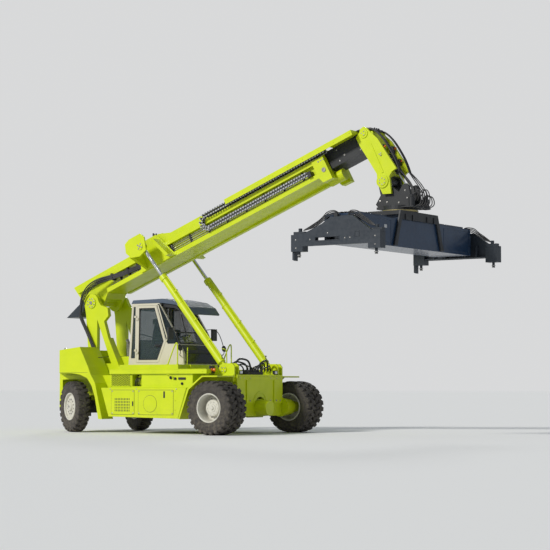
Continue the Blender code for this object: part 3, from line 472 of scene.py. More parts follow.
    def make(self, name: str, finish: Finish, body: str, bevel: float = 0.0,
             sharp: float = 35.0) -> bpy.types.Object:
        """Ends the mesh as a piece of the machine.

        Args:
            name: The piece's name.
            finish: What it is finished in.
            body: The body that it rides on.
            bevel: The width of its rounded edges.
            sharp: Edges bent by more degrees than this stay sharp.

        Returns:
            The piece.
        """
        bmesh.ops.recalc_face_normals(self.bm, faces=self.bm.faces)
        self.bm.transform(self.place)
        if self.place.determinant() < 0:
            bmesh.ops.reverse_faces(self.bm, faces=self.bm.faces)
        mesh = bpy.data.meshes.new(name)
        self.bm.to_mesh(mesh)
        self.bm.free()
        obj = bpy.data.objects.new(name, mesh)
        bpy.context.scene.collection.objects.link(obj)
        mesh.shade_smooth()
        mesh.set_sharp_from_angle(angle=math.radians(sharp))
        if bevel:
            round_edges(obj, bevel)
        return dress(obj, finish, body)


def round_edges(obj: bpy.types.Object, width: float) -> None:
    """Gives a piece small rounded edges.

    Args:
        obj: The piece.
        width: How wide the rounding is.
    """
    mod = obj.modifiers.new("edges", "BEVEL")
    mod.width = width
    mod.segments = 2
    mod.limit_method = "ANGLE"
    mod.angle_limit = math.radians(40)
    mod.harden_normals = False


def dress(obj: bpy.types.Object, finish: Finish, body: str) -> bpy.types.Object:
    """Finishes a piece and makes it ride on its body.

    Args:
        obj: The piece.
        finish: What it is finished in.
        body: The body that it rides on.

    Returns:
        The piece.
    """
    obj.data.materials.clear()
    obj.data.materials.append(finish.material())
    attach(obj, body)
    return obj


def hoses(name: str, runs: Iterable[Tuple[Sequence[Vector], float]], finish: Finish, body: str,
          ride: bool = True) -> bpy.types.Object:
    """Makes hoses or pipes as one curve with a line for each.

    Args:
        name: The piece's name.
        runs: For each hose, the points it passes and its radius.
        finish: What they are finished in.
        body: The body that they ride on.
        ride: False where the caller attaches the piece itself, or leaves it on no body.

    Returns:
        The piece, as a mesh.
    """
    runs = list(runs)
    data = bpy.data.curves.new(name, "CURVE")
    data.dimensions = "3D"
    data.bevel_depth = max(r for _, r in runs)
    data.bevel_resolution = 2
    data.resolution_u = 6
    data.use_fill_caps = True
    for points, r in runs:
        line = data.splines.new("NURBS")
        line.points.add(len(points) - 1)
        for p, co in zip(line.points, points):
            p.co = (*co, 1)
            p.radius = r / data.bevel_depth
        line.use_endpoint_u = True
        line.order_u = 3
    curve = bpy.data.objects.new(name + "_line", data)
    bpy.context.scene.collection.objects.link(curve)
    graph = bpy.context.evaluated_depsgraph_get()
    mesh = bpy.data.meshes.new_from_object(curve.evaluated_get(graph))
    bpy.data.objects.remove(curve, do_unlink=True)
    obj = bpy.data.objects.new(name, mesh)
    bpy.context.scene.collection.objects.link(obj)
    mesh.shade_smooth()
    mesh.set_sharp_from_angle(angle=math.radians(50))
    if ride:
        return dress(obj, finish, body)
    mesh.materials.clear()
    mesh.materials.append(finish.material())
    return obj


# ---------------------------------------------------------------------------- wheels
@dataclass
class Tyre:
    """A pneumatic tyre with chevron lugs."""

    radius: float = 0.685
    width: float = 0.35
    bead: float = 0.357
    groove: float = 0.036
    lugs: int = 24
    slant: float = 0.9

    def carcass(self, shape: Shape) -> None:
        """Adds the casing: crown, shoulders, ribbed walls and beads.

        Args:
            shape: The shape that it is added to.
        """
        w, r = self.width / 2, self.radius - self.groove
        half = [(r, 0.0), (r - 0.002, w * 0.55), (r - 0.014, w - 0.035), (r - 0.045, w - 0.010),
                (r - 0.09, w - 0.002), (r - 0.095, w - 0.006), (r - 0.14, w - 0.001),
                (self.bead + 0.085, w - 0.004), (self.bead + 0.075, w - 0.012),
                (self.bead + 0.045, w - 0.022), (self.bead + 0.020, w - 0.026),
                (self.bead, w - 0.050)]
        profile = [(q, h) for q, h in reversed(half)] + [(q, -h) for q, h in half[1:]]
        shape.turned(profile, segs=72)

    def lug(self, shape: Shape, angle: float, side: int) -> None:
        """Adds one lug, from past the crown's middle down over a shoulder.

        Args:
            shape: The shape that it is added to.
            angle: Where it starts round the tyre.
            side: 1 on the outer half and -1 on the inner.
        """
        w, r = self.width / 2, self.radius
        stations = [(-0.030, r, r - self.groove - 0.004), (0.045, r, r - self.groove - 0.004),
                    (0.105, r - 0.003, r - self.groove - 0.006),
                    (w - 0.018, r - 0.012, r - self.groove - 0.03),
                    (w + 0.001, r - 0.040, r - self.groove - 0.05),
                    (w + 0.001, r - 0.080, r - 0.095)]
        rings = []
        for k, (h, top, low) in enumerate(stations):
            half = 0.050 if k < 2 else (0.056 if k < 5 else 0.042)
            mid = angle + self.slant * max(h, 0) * (1 - 0.3 * max(h, 0) / w)
            ring = []
            for radius, sign, spread in ((top, -1, 0.86), (top, 1, 0.86), (low, 1, 1.15),
                                         (low, -1, 1.15)):
                a = mid + sign * half * spread / self.radius
                depth = h if k < 4 or radius == top else w - 0.02
                ring.append(Vector((radius * math.cos(a), radius * math.sin(a), side * depth)))
            rings.append(ring)
        shape.loft(rings)

    def build(self, node: str, joint: str, body: str, outward: int) -> bpy.types.Object:
        """Makes one tyre in place of its node.

        Args:
            node: The tyre's node.
            joint: The joint that it spins on.
            body: The body that it rides on.
            outward: -1 on the right and 1 on the left.

        Returns:
            The tyre.
        """
        shape = Shape(PLACES.wheel(node, joint, outward))
        self.carcass(shape)
        step = 2 * math.pi / self.lugs
        for i in range(self.lugs):
            self.lug(shape, i * step, 1)
            self.lug(shape, (i + 0.5) * step, -1)
        piece = shape.make(node + "_treaded", RUBBER, body, sharp=30)
        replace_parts(piece, node)
        return piece


@dataclass
class Rim:
    """A wheel rim with its disc, lock ring, bolts and hub."""

    radius: float = 0.3548
    wall: float = 0.025
    pair_half: float = 0.3505
    single_half: float = 0.155

    def flanges(self, half: float, lock: Flat) -> List[Flat]:
        """The profile from inside one flange, over both, to inside the other.

        Args:
            half: Half the rim's width.
            lock: How far in the lock ring's two edges lie.

        Returns:
            The profile's points, as radius and height.
        """
        r, full = self.radius - self.wall, self.radius
        lip = [(r + 0.016, half), (full + 0.012, half + 0.004), (full + 0.018, half - 0.012),
               (full, half - 0.030)]
        return [(r, half - 0.055), (r + 0.006, half - lock[0]), (r + 0.006, half - lock[1]), *lip,
                *((q, -h) for q, h in reversed(lip)), (r, 0.03 - half)]

    def finish_rim(self, shape: Shape, node: str, body: str) -> None:
        """Ends a rim's mesh in place of its node."""
        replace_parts(shape.make(node + "_turned", RIM, body, sharp=30), node)

    def front(self, at: Matrix, body: str, node: str) -> None:
        """Makes the rim of a pair, with the hub drum deep in the outer wheel.

        Args:
            at: The wheel's frame.
            body: The body that it rides on.
            node: The rim's node.
        """
        r = self.radius - self.wall
        face = self.pair_half - 0.16
        profile = [(0.002, face + 0.012), (0.10, face + 0.012), (0.105, face), (0.185, face),
                   (0.205, face - 0.012), (0.215, face - 0.035), (0.215, 0.045), (0.235, 0.030),
                   (r - 0.012, 0.030), (r, 0.045), *self.flanges(self.pair_half, (0.045, 0.018)),
                   (r, -0.045), (r - 0.012, -0.030), (0.165, -0.030), (0.165, -0.029),
                   (0.002, -0.029)]
        shape = Shape(at)
        shape.turned(profile, segs=64)
        shape.bolts((0, 0, face), (0, 0, 1), 0.150, 10, 0.013)
        shape.rod((0, 0, face + 0.010), (0, 0, face + 0.040), 0.055, 24, 0.045)
        shape.rod((r - 0.035, 0, 0.03), (r - 0.035, 0, 0.10), 0.008, 10)
        self.finish_rim(shape, node, body)
        studs = Shape(at)
        for x, y in circle(0.262, 12):
            studs.bolt((x, y, 0.030), (0, 0, 1), 0.017)
        studs.make(node + "_studs", STEEL, body)

    def rear(self, at: Matrix, body: str, node: str) -> None:
        """Makes a single rim with a shallow disc and a hub cap.

        Args:
            at: The wheel's frame.
            body: The body that it rides on.
            node: The rim's node.
        """
        r = self.radius - self.wall
        disc = self.single_half - 0.035
        profile = [(0.002, disc + 0.052), (0.085, disc + 0.052), (0.105, disc + 0.046),
                   (0.125, disc + 0.02), (0.130, disc), (0.235, disc), (0.275, disc - 0.010),
                   (r - 0.010, disc - 0.030), *self.flanges(self.single_half, (0.04, 0.014)),
                   (r, disc - 0.06), (r - 0.012, disc - 0.048), (0.24, disc - 0.035),
                   (0.002, disc - 0.035)]
        shape = Shape(at)
        shape.turned(profile, segs=64)
        self.finish_rim(shape, node, body)
        studs = Shape(at)
        studs.bolts((0, 0, disc), (0, 0, 1), 0.195, 12, 0.015)
        studs.rod((0, 0, disc + 0.05), (0, 0, disc + 0.062), 0.03, 16)
        studs.make(node + "_studs", STEEL, body)


@dataclass
class Wheels:
    """All wheels of the truck."""

    tyre: Tyre = field(default_factory=Tyre)
    rim: Rim = field(default_factory=Rim)

    def build(self) -> None:
        """Makes the front pairs and the steered rear wheels."""
        for side, sy in SIDES:
            front, spin = f"front_wheels_{side}", f"front_wheels_{side}_spin"
            for which in ("outer", "inner"):
                self.tyre.build(f"tyre_front_{side}_{which}", spin, front, sy)
            self.rim.front(PLACES.wheel(f"rim_front_{side}", spin, sy), front,
                           f"rim_front_{side}")
            rear, spin = f"rear_wheel_{side}", f"rear_wheel_{side}_spin"
            self.tyre.build(f"tyre_rear_{side}", spin, rear, sy)
            self.rim.rear(PLACES.wheel(f"tyre_rear_{side}", spin, sy), rear, f"rim_rear_{side}")


def outward(sy: int) -> Matrix:
    """The chassis frame, mirrored on the right so that +Y always points out of the machine."""
    return PLACES.chassis @ Matrix.Diagonal((1, sy, 1, 1))


def boom_outward(sy: int) -> Matrix:
    """The boom's frame, mirrored on the right so that +Y always points out."""
    return PLACES.boom @ Matrix.Diagonal((1, sy, 1, 1))


def through(place: Matrix, points: Iterable[Point]) -> List[Vector]:
    """Points carried over from one frame to the machine's."""
    return [place @ Vector(p) for p in points]


def circle(r: float, count: int, start: float = 0.0) -> List[Flat]:
    """Even places on a circle, counted from a starting share of a step."""
    turns = (2 * math.pi * (i + start) / count for i in range(count))
    return [(r * math.cos(a), r * math.sin(a)) for a in turns]


# ---------------------------------------------------------------------------- chassis
@dataclass
class SidePanels:
    """What shows on one flank: vents, doors, grille, walkway, rails and lamps."""

    side: str
    sy: int
    box_y: float = 1.87
    bay_y: float = 1.54
    deck_y: float = 1.60
    deck_z: float = 1.675
    slot_columns: int = 10
    slot_rows: int = 5
    mesh_pitch: float = 0.052

    def louvre(self) -> None:
        """Sets the service door, its slots, latch and screws on the side box."""
        y = self.box_y
        door = Shape(outward(self.sy))
        door.box((-3.36, y - 0.002, 0.50), (-2.60, y + 0.007, 1.13))
        door.box((-2.46, y - 0.002, 0.50), (-1.32, y + 0.005, 1.13))
        door.rod((-2.07, y, 0.78), (-2.07, y + 0.011, 0.78), 0.215, 48)
        door.make(f"service_door_{self.side}", LIME, "chassis", bevel=0.003)
        dark = Shape(outward(self.sy))
        dark.box((-3.368, y - 0.002, 0.492), (-2.592, y + 0.002, 1.138))
        dark.box((-2.468, y - 0.002, 0.492), (-1.312, y + 0.001, 1.138))
        dark.rod((-2.07, y, 0.78), (-2.07, y + 0.007, 0.78), 0.222, 48)
        for i in range(self.slot_columns):
            for k in range(self.slot_rows):
                x, z = -3.24 + i * 0.052, 0.575 + k * 0.074
                dark.box((x, y + 0.003, z), (x + 0.022, y + 0.009, z + 0.052))
        dark.box((-1.635, y, 0.93), (-1.585, y + 0.010, 1.10))
        dark.box((-2.655, y + 0.006, 0.72), (-2.625, y + 0.018, 0.84))
        dark.make(f"vent_slots_{self.side}", BLACK, "chassis")
        screws = Shape(outward(self.sy))
        for x in (-3.33, -2.63, -2.43, -1.35):
            for z in (0.53, 1.10):
                screws.bolt((x, y + 0.006, z), (0, 1, 0), 0.011)
        for x in (-3.40, -2.53, -1.22):
            screws.bolt((x, y, 1.16), (0, 1, 0), 0.011)
        screws.make(f"panel_screws_{self.side}", STEEL, "chassis")

    def grille(self) -> None:
        """Covers the radiator side with diamond mesh in a frame."""
        x0, x1, z0, z1, y = -3.64, -2.97, 1.225, 1.545, self.bay_y
        Shape(outward(self.sy)).box((x0, y, z0), (x1, y + 0.003, z1)).make(
            f"grille_back_{self.side}", BLACK, "chassis")
        bars = Shape(outward(self.sy))
        span, rise = x1 - x0, z1 - z0
        for sign in (-1, 1):
            for i in range(-int(rise / self.mesh_pitch) - 1, int(span / self.mesh_pitch) + 2):
                ends = []
                for z in (0.0, rise):
                    x = i * self.mesh_pitch + (z if sign > 0 else rise - z)
                    ends.append((x, z))
                (xa, za), (xb, zb) = sorted(ends)
                lo, hi = max(xa, 0.0), min(xb, span)
                if hi - lo < 0.01:
                    continue
                slope = (zb - za) / (xb - xa)
                a = (x0 + lo, y + 0.006, z0 + za + slope * (lo - xa))
                b = (x0 + hi, y + 0.006, z0 + za + slope * (hi - xa))
                bars.rod(a, b, 0.0065, 4)
        for a, b in (((x0, z0), (x1, z0 + 0.018)), ((x0, z1 - 0.018), (x1, z1)),
                     ((x0, z0), (x0 + 0.018, z1)), ((x1 - 0.018, z0), (x1, z1))):
            bars.box((a[0], y, a[1]), (b[0], y + 0.014, b[1]))
        bars.make(f"grille_mesh_{self.side}", LIME, "chassis")

    def bay(self) -> None:
        """Fills the open bay with its filter and hoses, and sets the ports beside it."""
        fill = Shape(outward(self.sy))
        fill.rod((-2.78, 1.36, 1.24), (-2.78, 1.36, 1.50), 0.075, 24)
        fill.rod((-2.78, 1.36, 1.50), (-2.78, 1.36, 1.53), 0.05, 16)
        fill.box((-2.92, 1.25, 1.235), (-2.63, 1.28, 1.535))
        fill.make(f"bay_filter_{self.side}", LIME, "chassis", bevel=0.004)
        place = outward(self.sy)
        runs = [(through(place, [(-2.90 + i * 0.05, 1.44, 1.235), (-2.88 + i * 0.05, 1.49, 1.33),
                                 (-2.84 + i * 0.04, 1.46, 1.44), (-2.86 + i * 0.05, 1.34, 1.53)]),
                 0.013) for i in range(4)]
        hoses(f"bay_hoses_{self.side}", runs, HOSE, "chassis")
        ports = Shape(place)
        for x, z in ((-1.65, 1.45), (-1.50, 1.43), (-1.28, 1.30)):
            ports.rod((x, self.bay_y - 0.002, z), (x, self.bay_y + 0.03, z), 0.034, 20)
            ports.rod((x, self.bay_y + 0.03, z), (x, self.bay_y + 0.05, z), 0.018, 6)
        ports.box((-1.40, self.bay_y - 0.002, 1.40), (-1.17, self.bay_y + 0.02, 1.46))
        ports.make(f"bay_ports_{self.side}", BLACK, "chassis", bevel=0.003)
        rails = [(through(place, [(-1.78, self.bay_y, 1.53), (-1.76, self.bay_y + 0.05, 1.53),
                                  (-1.66, self.bay_y + 0.06, 1.525),
                                  (-1.56, self.bay_y + 0.055, 1.49),
                                  (-1.55, self.bay_y + 0.05, 1.42), (-1.55, self.bay_y, 1.40)]),
                  0.011)]
        hoses(f"bay_handle_{self.side}", rails, LIME, "chassis")

    def walkway(self) -> None:
        """Raises the walkway's tread pattern and a lip at its edge."""
        rows = random.Random(5)
        tread = Shape(outward(self.sy))
        for i in range(56):
            for k in range(5):
                x = -3.60 + i * 0.055
                y = 1.27 + k * 0.060
                turn = 0.016 if (i + k) % 2 else -0.016
                z = self.deck_z
                jig = rows.uniform(-0.001, 0.001)
                tread.plate([(x - 0.016, y - turn + jig), (x + 0.016, y + turn - 0.003 + jig),
                             (x + 0.016, y + turn + 0.003 + jig),
                             (x - 0.016, y - turn + 0.003 + jig)], z - 0.001, z + 0.004, Across.Z)
        tread.make(f"walkway_tread_{self.side}", STEEL, "chassis")
        lip = Shape(outward(self.sy))
        lip.box((-3.66, self.deck_y, 1.556), (-0.46, self.deck_y + 0.006, 1.562))
        lip.box((-3.66, self.deck_y, 1.664), (-0.46, self.deck_y + 0.006, 1.678))
        for x in (-3.0, -2.2, -1.4, -0.6):
            lip.bolt((x, self.deck_y, 1.615), (0, 1, 0), 0.010)
        lip.make(f"walkway_lip_{self.side}", LIME, "chassis")

    def rails(self) -> None:
        """Bends the handrails at the cab's steps and over the walkway."""
        place, y = outward(self.sy), 1.20
        runs = [(through(place, [(-1.70, y, 1.79), (-1.70, y, 2.0), (-1.70, y, 2.30),
                                 (-1.72, y, 2.37), (-1.78, y, 2.33), (-1.93, y, 2.0),
                                 (-2.02, y, 1.79)]), 0.017),
                (through(place, [(-1.62, y - 0.32, 1.79), (-1.62, y - 0.32, 2.15),
                                 (-1.64, y - 0.36, 2.24), (-1.70, y - 0.44, 2.24)]), 0.015)]
        hoses(f"handrail_{self.side}", runs, LIME, "chassis")
        steps = Shape(place)
        for z in (0.62, 0.86, 1.10):
            steps.box((-1.30, 1.872, z), (-1.24, 1.884, z + 0.012))
        for x in (-2.02, -1.70):
            steps.rod((x, y, 1.798), (x, y, 1.812), 0.034, 18)
        steps.make(f"rail_feet_{self.side}", LIME, "chassis")

    def lamps(self) -> None:
        """Hangs the amber turn lamp and a work lamp at the front."""
        mount = Shape(outward(self.sy))
        mount.box((-0.52, 1.24, 1.53), (-0.47, 1.42, 1.76))
        mount.box((-0.50, 1.27, 1.56), (-0.43, 1.39, 1.74))
        mount.make(f"lamp_mount_{self.side}", BLACK, "chassis", bevel=0.006)
        lens = Shape(outward(self.sy))
        lens.turned([(0.002, 0.0), (0.046, 0.0), (0.046, 0.03), (0.036, 0.048), (0.002, 0.055)],
                    Matrix.Translation((-0.43, 1.33, 1.65)) @ Matrix.Rotation(math.pi / 2, 4, "Y"),
                    24)
        lens.rod((-0.465, 1.385, 1.65), (-0.465, 1.405, 1.65), 0.045, 24, 0.036)
        lens.make(f"turn_lamp_{self.side}", ORANGE, "chassis")
        work = Shape(outward(self.sy))
        work.box((-0.02, 0.72, 1.54), (0.05, 0.86, 1.64))
        work.rod((0.01, 0.79, 1.50), (0.01, 0.79, 1.55), 0.02, 12)
        work.make(f"work_lamp_{self.side}", BLACK, "chassis", bevel=0.01)
        Shape(outward(self.sy)).box((0.048, 0.735, 1.555), (0.056, 0.845, 1.625)).make(
            f"work_lamp_lens_{self.side}", LENS, "chassis", bevel=0.004)

    def build(self) -> None:
        """Makes the flank."""
        self.louvre()
        self.grille()
        self.bay()
        self.walkway()
        self.rails()
        self.lamps()


@dataclass
class FrontAndBack:
    """Front wall, axle, counterweight and deck details."""

    wall_x: float = 0.092
    rear_x: float = -6.25

    def front(self) -> None:
        """Adds the arch flange, a cross bar, two uprights and bolts."""
        arch = Shape()
        steps, middle = 20, 0.791
        inner, outer = 0.262, 0.31
        turns = [math.pi * i / steps for i in range(steps + 1)]
        ring = [(outer * math.cos(a), middle + outer * math.sin(a)) for a in turns]
        ring += [(inner * math.cos(a), middle + inner * math.sin(a)) for a in reversed(turns)]
        arch.plate(ring, self.wall_x, self.wall_x + 0.012, Across.X)
        arch.box((self.wall_x, -0.98, 1.40), (self.wall_x + 0.010, 0.98, 1.485))
        for y in (-0.62, 0.62):
            arch.box((self.wall_x, y - 0.015, 0.80), (self.wall_x + 0.03, y + 0.015, 1.39))
        arch.make("front_flanges", LIME, "chassis", bevel=0.003)
        bolts = Shape()
        for y in (-0.92, -0.74, -0.46, 0.46, 0.74, 0.92):
            for z in (0.86, 1.44):
                bolts.bolt((self.wall_x + 0.004, y, z), (1, 0, 0), 0.015)
        bolts.make("front_bolts", STEEL, "chassis")

    def deck(self) -> None:
        """Runs hoses and pipes over the front deck between the cylinders."""
        runs = []
        for x, h, r in ((-0.10, 0.36, 0.026), (-0.20, 0.27, 0.022), (-0.02, 0.18, 0.018),
                        (-0.32, 0.22, 0.018)):
            pts = [(x - 0.12, -0.80, 1.66), (x - 0.06, -0.70, 1.72 + h * 0.6),
                   (x + 0.02, -0.48, 1.58 + h), (x + 0.02, -0.24, 1.58 + h * 0.8),
                   (x - 0.02, -0.10, 1.56), (x - 0.06, 0.0, 1.55)]
            runs.append((through(PLACES.chassis, pts), r))
            runs.append((through(outward(-1), [(a, b, c - 0.03) for a, b, c in pts]), r))
        hoses("deck_hoses", runs, HOSE, "chassis")
        block = Shape()
        block.box((-0.42, -0.26, 1.53), (0.0, 0.26, 1.60))
        block.box((-0.36, -0.20, 1.60), (-0.08, 0.20, 1.66))
        for y in (-0.14, 0.0, 0.14):
            block.rod((-0.22, y, 1.66), (-0.22, y, 1.72), 0.03, 16)
        block.make("deck_valve_block", BLACK, "chassis", bevel=0.006)
        tips = Shape()
        for y in (-0.14, 0.0, 0.14):
            tips.rod((-0.22, y, 1.72), (-0.22, y, 1.74), 0.018, 6)
            tips.bolt((-0.12, y, 1.66), (0, 0, 1), 0.012)
        for y in (-0.42, 0.42):
            tips.bolt((-0.38, y, 1.53), (0, 0, 1), 0.012)
        tips.make("deck_fittings", BRASS, "chassis")

    def back(self) -> None:
        """Adds the counterweight's seams, lifting eyes and rear lamps, the hood louvres and the
        exhaust pipe.
        """
        lamps, red, x = Shape(), Shape(), self.rear_x
        for y in (-0.38, 0.38):
            lamps.box((x - 0.012, y - 0.15, 1.70), (x + 0.01, y + 0.15, 1.84))
            red.box((x - 0.022, y - 0.135, 1.715), (x - 0.008, y + 0.135, 1.825))
        lamps.box((x - 0.008, -0.26, 1.30), (x + 0.01, 0.26, 1.44))
        lamps.make("rear_lamp_bodies", BLACK, "chassis", bevel=0.006)
        red.make("rear_lamp_lenses", RED, "chassis", bevel=0.004)
        eyes = Shape()
        ring = [(0.045 + dx, dy) for dx, dy in circle(0.014, 8)]
        for y in (-1.0, 1.0):
            at = Matrix.Translation((-5.70, y, 2.235)) @ Matrix.Rotation(math.pi / 2, 4, "X")
            eyes.turned(ring, at, 20)
            eyes.rod((-5.70, y, 2.175), (-5.70, y, 2.20), 0.032, 16)
        eyes.make("counterweight_eyes", STEEL, "chassis")
        seam = Shape()
        for y in (-0.58, 0.58):
            seam.box((x - 0.0015, y - 0.003, 0.90), (x + 0.01, y + 0.003, 2.10))
        for sy in (-1, 1):
            seam.box((-5.48, sy * 1.4985, 1.596), (-4.50, sy * 1.5015, 1.602))
        seam.make("counterweight_seams", BLACK, "chassis")
        hood = Shape()
        for i in range(9):
            x = -4.98 + i * 0.105
            hood.box((x, -0.36, 2.038), (x + 0.05, 0.36, 2.050))
        hood.make("hood_louvres", BLACK, "chassis", bevel=0.003)
        stack = Shape()
        stack.rod((-4.55, 0.30, 2.03), (-4.55, 0.30, 2.42), 0.055, 24)
        stack.rod((-4.55, 0.30, 2.42), (-4.60, 0.30, 2.52), 0.045, 24)
        stack.make("exhaust_pipe", STEEL, "chassis")

    def tower(self) -> None:
        """Adds pivot caps and bolts, and the valve bank at the tower's foot."""
        pivot = PLACES.boom.translation - PLACES.chassis.translation
        caps, steel = Shape(), Shape()
        for sy in (-1, 1):
            caps.rods(pivot.x, pivot.z, ((sy * 0.682, sy * 0.704),), 0.155, 32)
            steel.bolts((pivot.x, sy * 0.704, pivot.z), (0, sy, 0), 0.115, 8, 0.014)
            steel.rods(pivot.x, pivot.z, ((sy * 0.702, sy * 0.716),), 0.05, 20)
        caps.make("pivot_caps", LIME, "chassis", bevel=0.003)
        steel.make("pivot_bolts", STEEL, "chassis")
        bank = Shape()
        bank.box((-4.98, -0.92, 1.72), (-4.62, -0.72, 2.02))
        bank.box((-4.94, -0.98, 1.78), (-4.66, -0.90, 1.95))
        for i in range(4):
            bank.rod((-4.92 + i * 0.08, -0.84, 2.02), (-4.92 + i * 0.08, -0.84, 2.07), 0.022, 12)
        bank.make("tower_valves", BLACK, "chassis", bevel=0.006)
        fit = Shape()
        for i in range(4):
            fit.rod((-4.92 + i * 0.08, -0.84, 2.07), (-4.92 + i * 0.08, -0.84, 2.10), 0.016, 6)
            fit.bolt((-4.90 + i * 0.08, -0.98, 1.87), (0, -1, 0), 0.012)
        fit.make("tower_fittings", BRASS, "chassis")

    def build(self) -> None:
        """Makes the front, the deck, the back and the tower."""
        self.front()
        self.deck()
        self.back()
        self.tower()


# ---------------------------------------------------------------------------- cab
@dataclass
class Cab:
    """The cab's glass, seals, trim, seat and controls."""

    half: float = 0.75
    floor: float = 1.85

    def sides(self) -> None:
        """Glazes and trims both sides of the shell."""
        for side, sy in SIDES:
            place = outward(sy)
            y = self.half
            dark = Shape(place)
            dark.plate([(-2.665, 3.425), (-2.15, 2.665), (-1.995, 2.355), (-2.37, 2.355),
                        (-2.435, 2.47), (-2.745, 3.39)], y - 0.002, y + 0.004)
            dark.make(f"front_quarter_{side}", SCREEN, "chassis", bevel=0.002)
            strip = Shape(place)
            strip.plate([(-2.715, 3.39), (-2.675, 3.39), (-2.355, 2.50), (-2.405, 2.40),
                         (-2.43, 2.42), (-2.392, 2.50)], y + 0.003, y + 0.022)
            strip.plate([(-1.885, 1.84), (-1.935, 2.20), (-2.06, 2.33), (-2.02, 2.36),
                         (-1.90, 2.25), (-1.845, 2.08), (-1.825, 1.84)], y - 0.01, y + 0.018)
            strip.make(f"pillar_strip_{side}", CREAM, "chassis", bevel=0.006)
            pane = Shape(place)
            pane.plate([(-3.618, 1.985), (-3.532, 3.355), (-3.464, 3.355), (-3.483, 1.985)],
                       y - 0.03, y - 0.022)
            pane.make(f"quarter_glass_{side}", GLASS, "chassis")
            self.door(sy, side)

    def door(self, sy: int, side: str) -> None:
        """Seals the door's glass and gives it a handle and a bar inside.

        Args:
            sy: -1 on the right and 1 on the left.
            side: The side's name.
        """
        body, place, y = f"cab_door_{side}", outward(sy), self.half
        outer = [(-3.352, 1.935), (-3.334, 3.314), (-2.816, 3.314), (-2.510, 2.425),
                 (-2.722, 1.935)]
        middle = (sum(p[0] for p in outer) / 5, sum(p[1] for p in outer) / 5)
        inner = [(p[0] + (middle[0] - p[0]) * 0.055, p[1] + (middle[1] - p[1]) * 0.035)
                 for p in outer]
        seal = Shape(place)
        for i in range(5):
            j = (i + 1) % 5
            seal.plate([outer[i], outer[j], inner[j], inner[i]], y - 0.020, y + 0.001)
        seal.make(f"door_seal_{side}", RUBBER_SEAL, body)
        handle = Shape(place)
        handle.box((-2.80, y + 0.004, 2.28), (-2.60, y + 0.012, 2.34))
        handle.rod((-2.78, y + 0.03, 2.31), (-2.63, y + 0.03, 2.31), 0.009, 12)
        handle.rod((-2.77, y + 0.006, 2.31), (-2.77, y + 0.034, 2.31), 0.008, 10)
        handle.rod((-2.64, y + 0.006, 2.31), (-2.64, y + 0.034, 2.31), 0.008, 10)
        handle.make(f"door_handle_{side}", BLACK, body, bevel=0.002)
        bar = [(through(place, [(-3.30, y - 0.045, 2.62), (-3.28, y - 0.085, 2.62),
                                (-2.90, y - 0.085, 2.52), (-2.62, y - 0.085, 2.45),
                                (-2.60, y - 0.045, 2.45)]), 0.012)]
        hoses(f"door_bar_{side}", bar, BLACK, body)

    def front(self) -> None:
        """Frames the windshield, hangs the wipers and closes the rear window."""
        frame_bars = Shape()
        line = [(-2.655, 3.335), (-2.180, 2.660), (-2.025, 2.350)]
        for sy in (-1, 1):
            for (xa, za), (xb, zb) in zip(line, line[1:]):
                frame_bars.plate([(xa, za), (xb, zb), (xb + 0.030, zb + 0.018),
                                  (xa + 0.030, za + 0.018)], *sorted((sy * 0.66, sy * 0.725)))
        frame_bars.box((-2.035, -0.70, 2.325), (-1.990, 0.70, 2.372))
        frame_bars.box((-2.20, -0.68, 2.645), (-2.158, 0.68, 2.675))
        frame_bars.box((-2.69, -0.72, 3.315), (-2.60, 0.72, 3.43))
        frame_bars.plate([(-2.64, 3.43), (-2.62, 3.34), (-2.22, 3.30), (-2.0, 3.20), (-2.16, 3.37)],
                         -0.66, 0.66)
        frame_bars.make("windshield_frame", BLACK, "chassis", bevel=0.004)
        apron = Shape()
        apron.plate([(-1.976, 2.318), (-1.858, 2.118), (-1.818, 1.86), (-1.812, 1.86),
                     (-1.852, 2.12), (-1.970, 2.322)], -0.66, 0.66)
        apron.make("front_apron", SCREEN, "chassis")
        ledge = Shape()
        ledge.plate([(-1.90, 2.19), (-1.85, 2.10), (-1.835, 2.10), (-1.885, 2.19)], -0.67, 0.67)
        ledge.plate([(-1.835, 1.90), (-1.82, 1.83), (-1.805, 1.83), (-1.82, 1.90)], -0.69, 0.69)
        ledge.make("apron_ledges", BLACK, "chassis", bevel=0.003)
        wiper = Shape()
        for y in (-0.30, 0.34):
            wiper.rod((-2.005, y, 2.38), (-2.35, y + 0.20, 2.94), 0.007, 8)
            wiper.rod((-2.145, y + 0.02, 2.68), (-2.47, y + 0.28, 3.14), 0.010, 6)
            wiper.rod((-2.02, y, 2.35), (-1.985, y, 2.37), 0.024, 14)
        wiper.make("wipers", RUBBER_SEAL, "chassis")
        rear = Shape()
        for sy in (-1, 1):
            rear.plate([(-3.668, 2.45), (-3.606, 3.30), (-3.578, 3.30), (-3.640, 2.45)],
                       *sorted((sy * 0.57, sy * 0.60)))
        for z in (2.452, 3.27):
            x = -3.70 + (z - 1.80) * 0.0732
            rear.box((x + 0.012, -0.60, z), (x + 0.042, 0.60, z + 0.028))
        rear.make("rear_window_seal", RUBBER_SEAL, "chassis")
        pane = Shape()
        pane.plate([(-3.654, 2.46), (-3.594, 3.29), (-3.588, 3.29), (-3.648, 2.46)], -0.59, 0.59)
        pane.make("rear_glass", GLASS, "chassis")

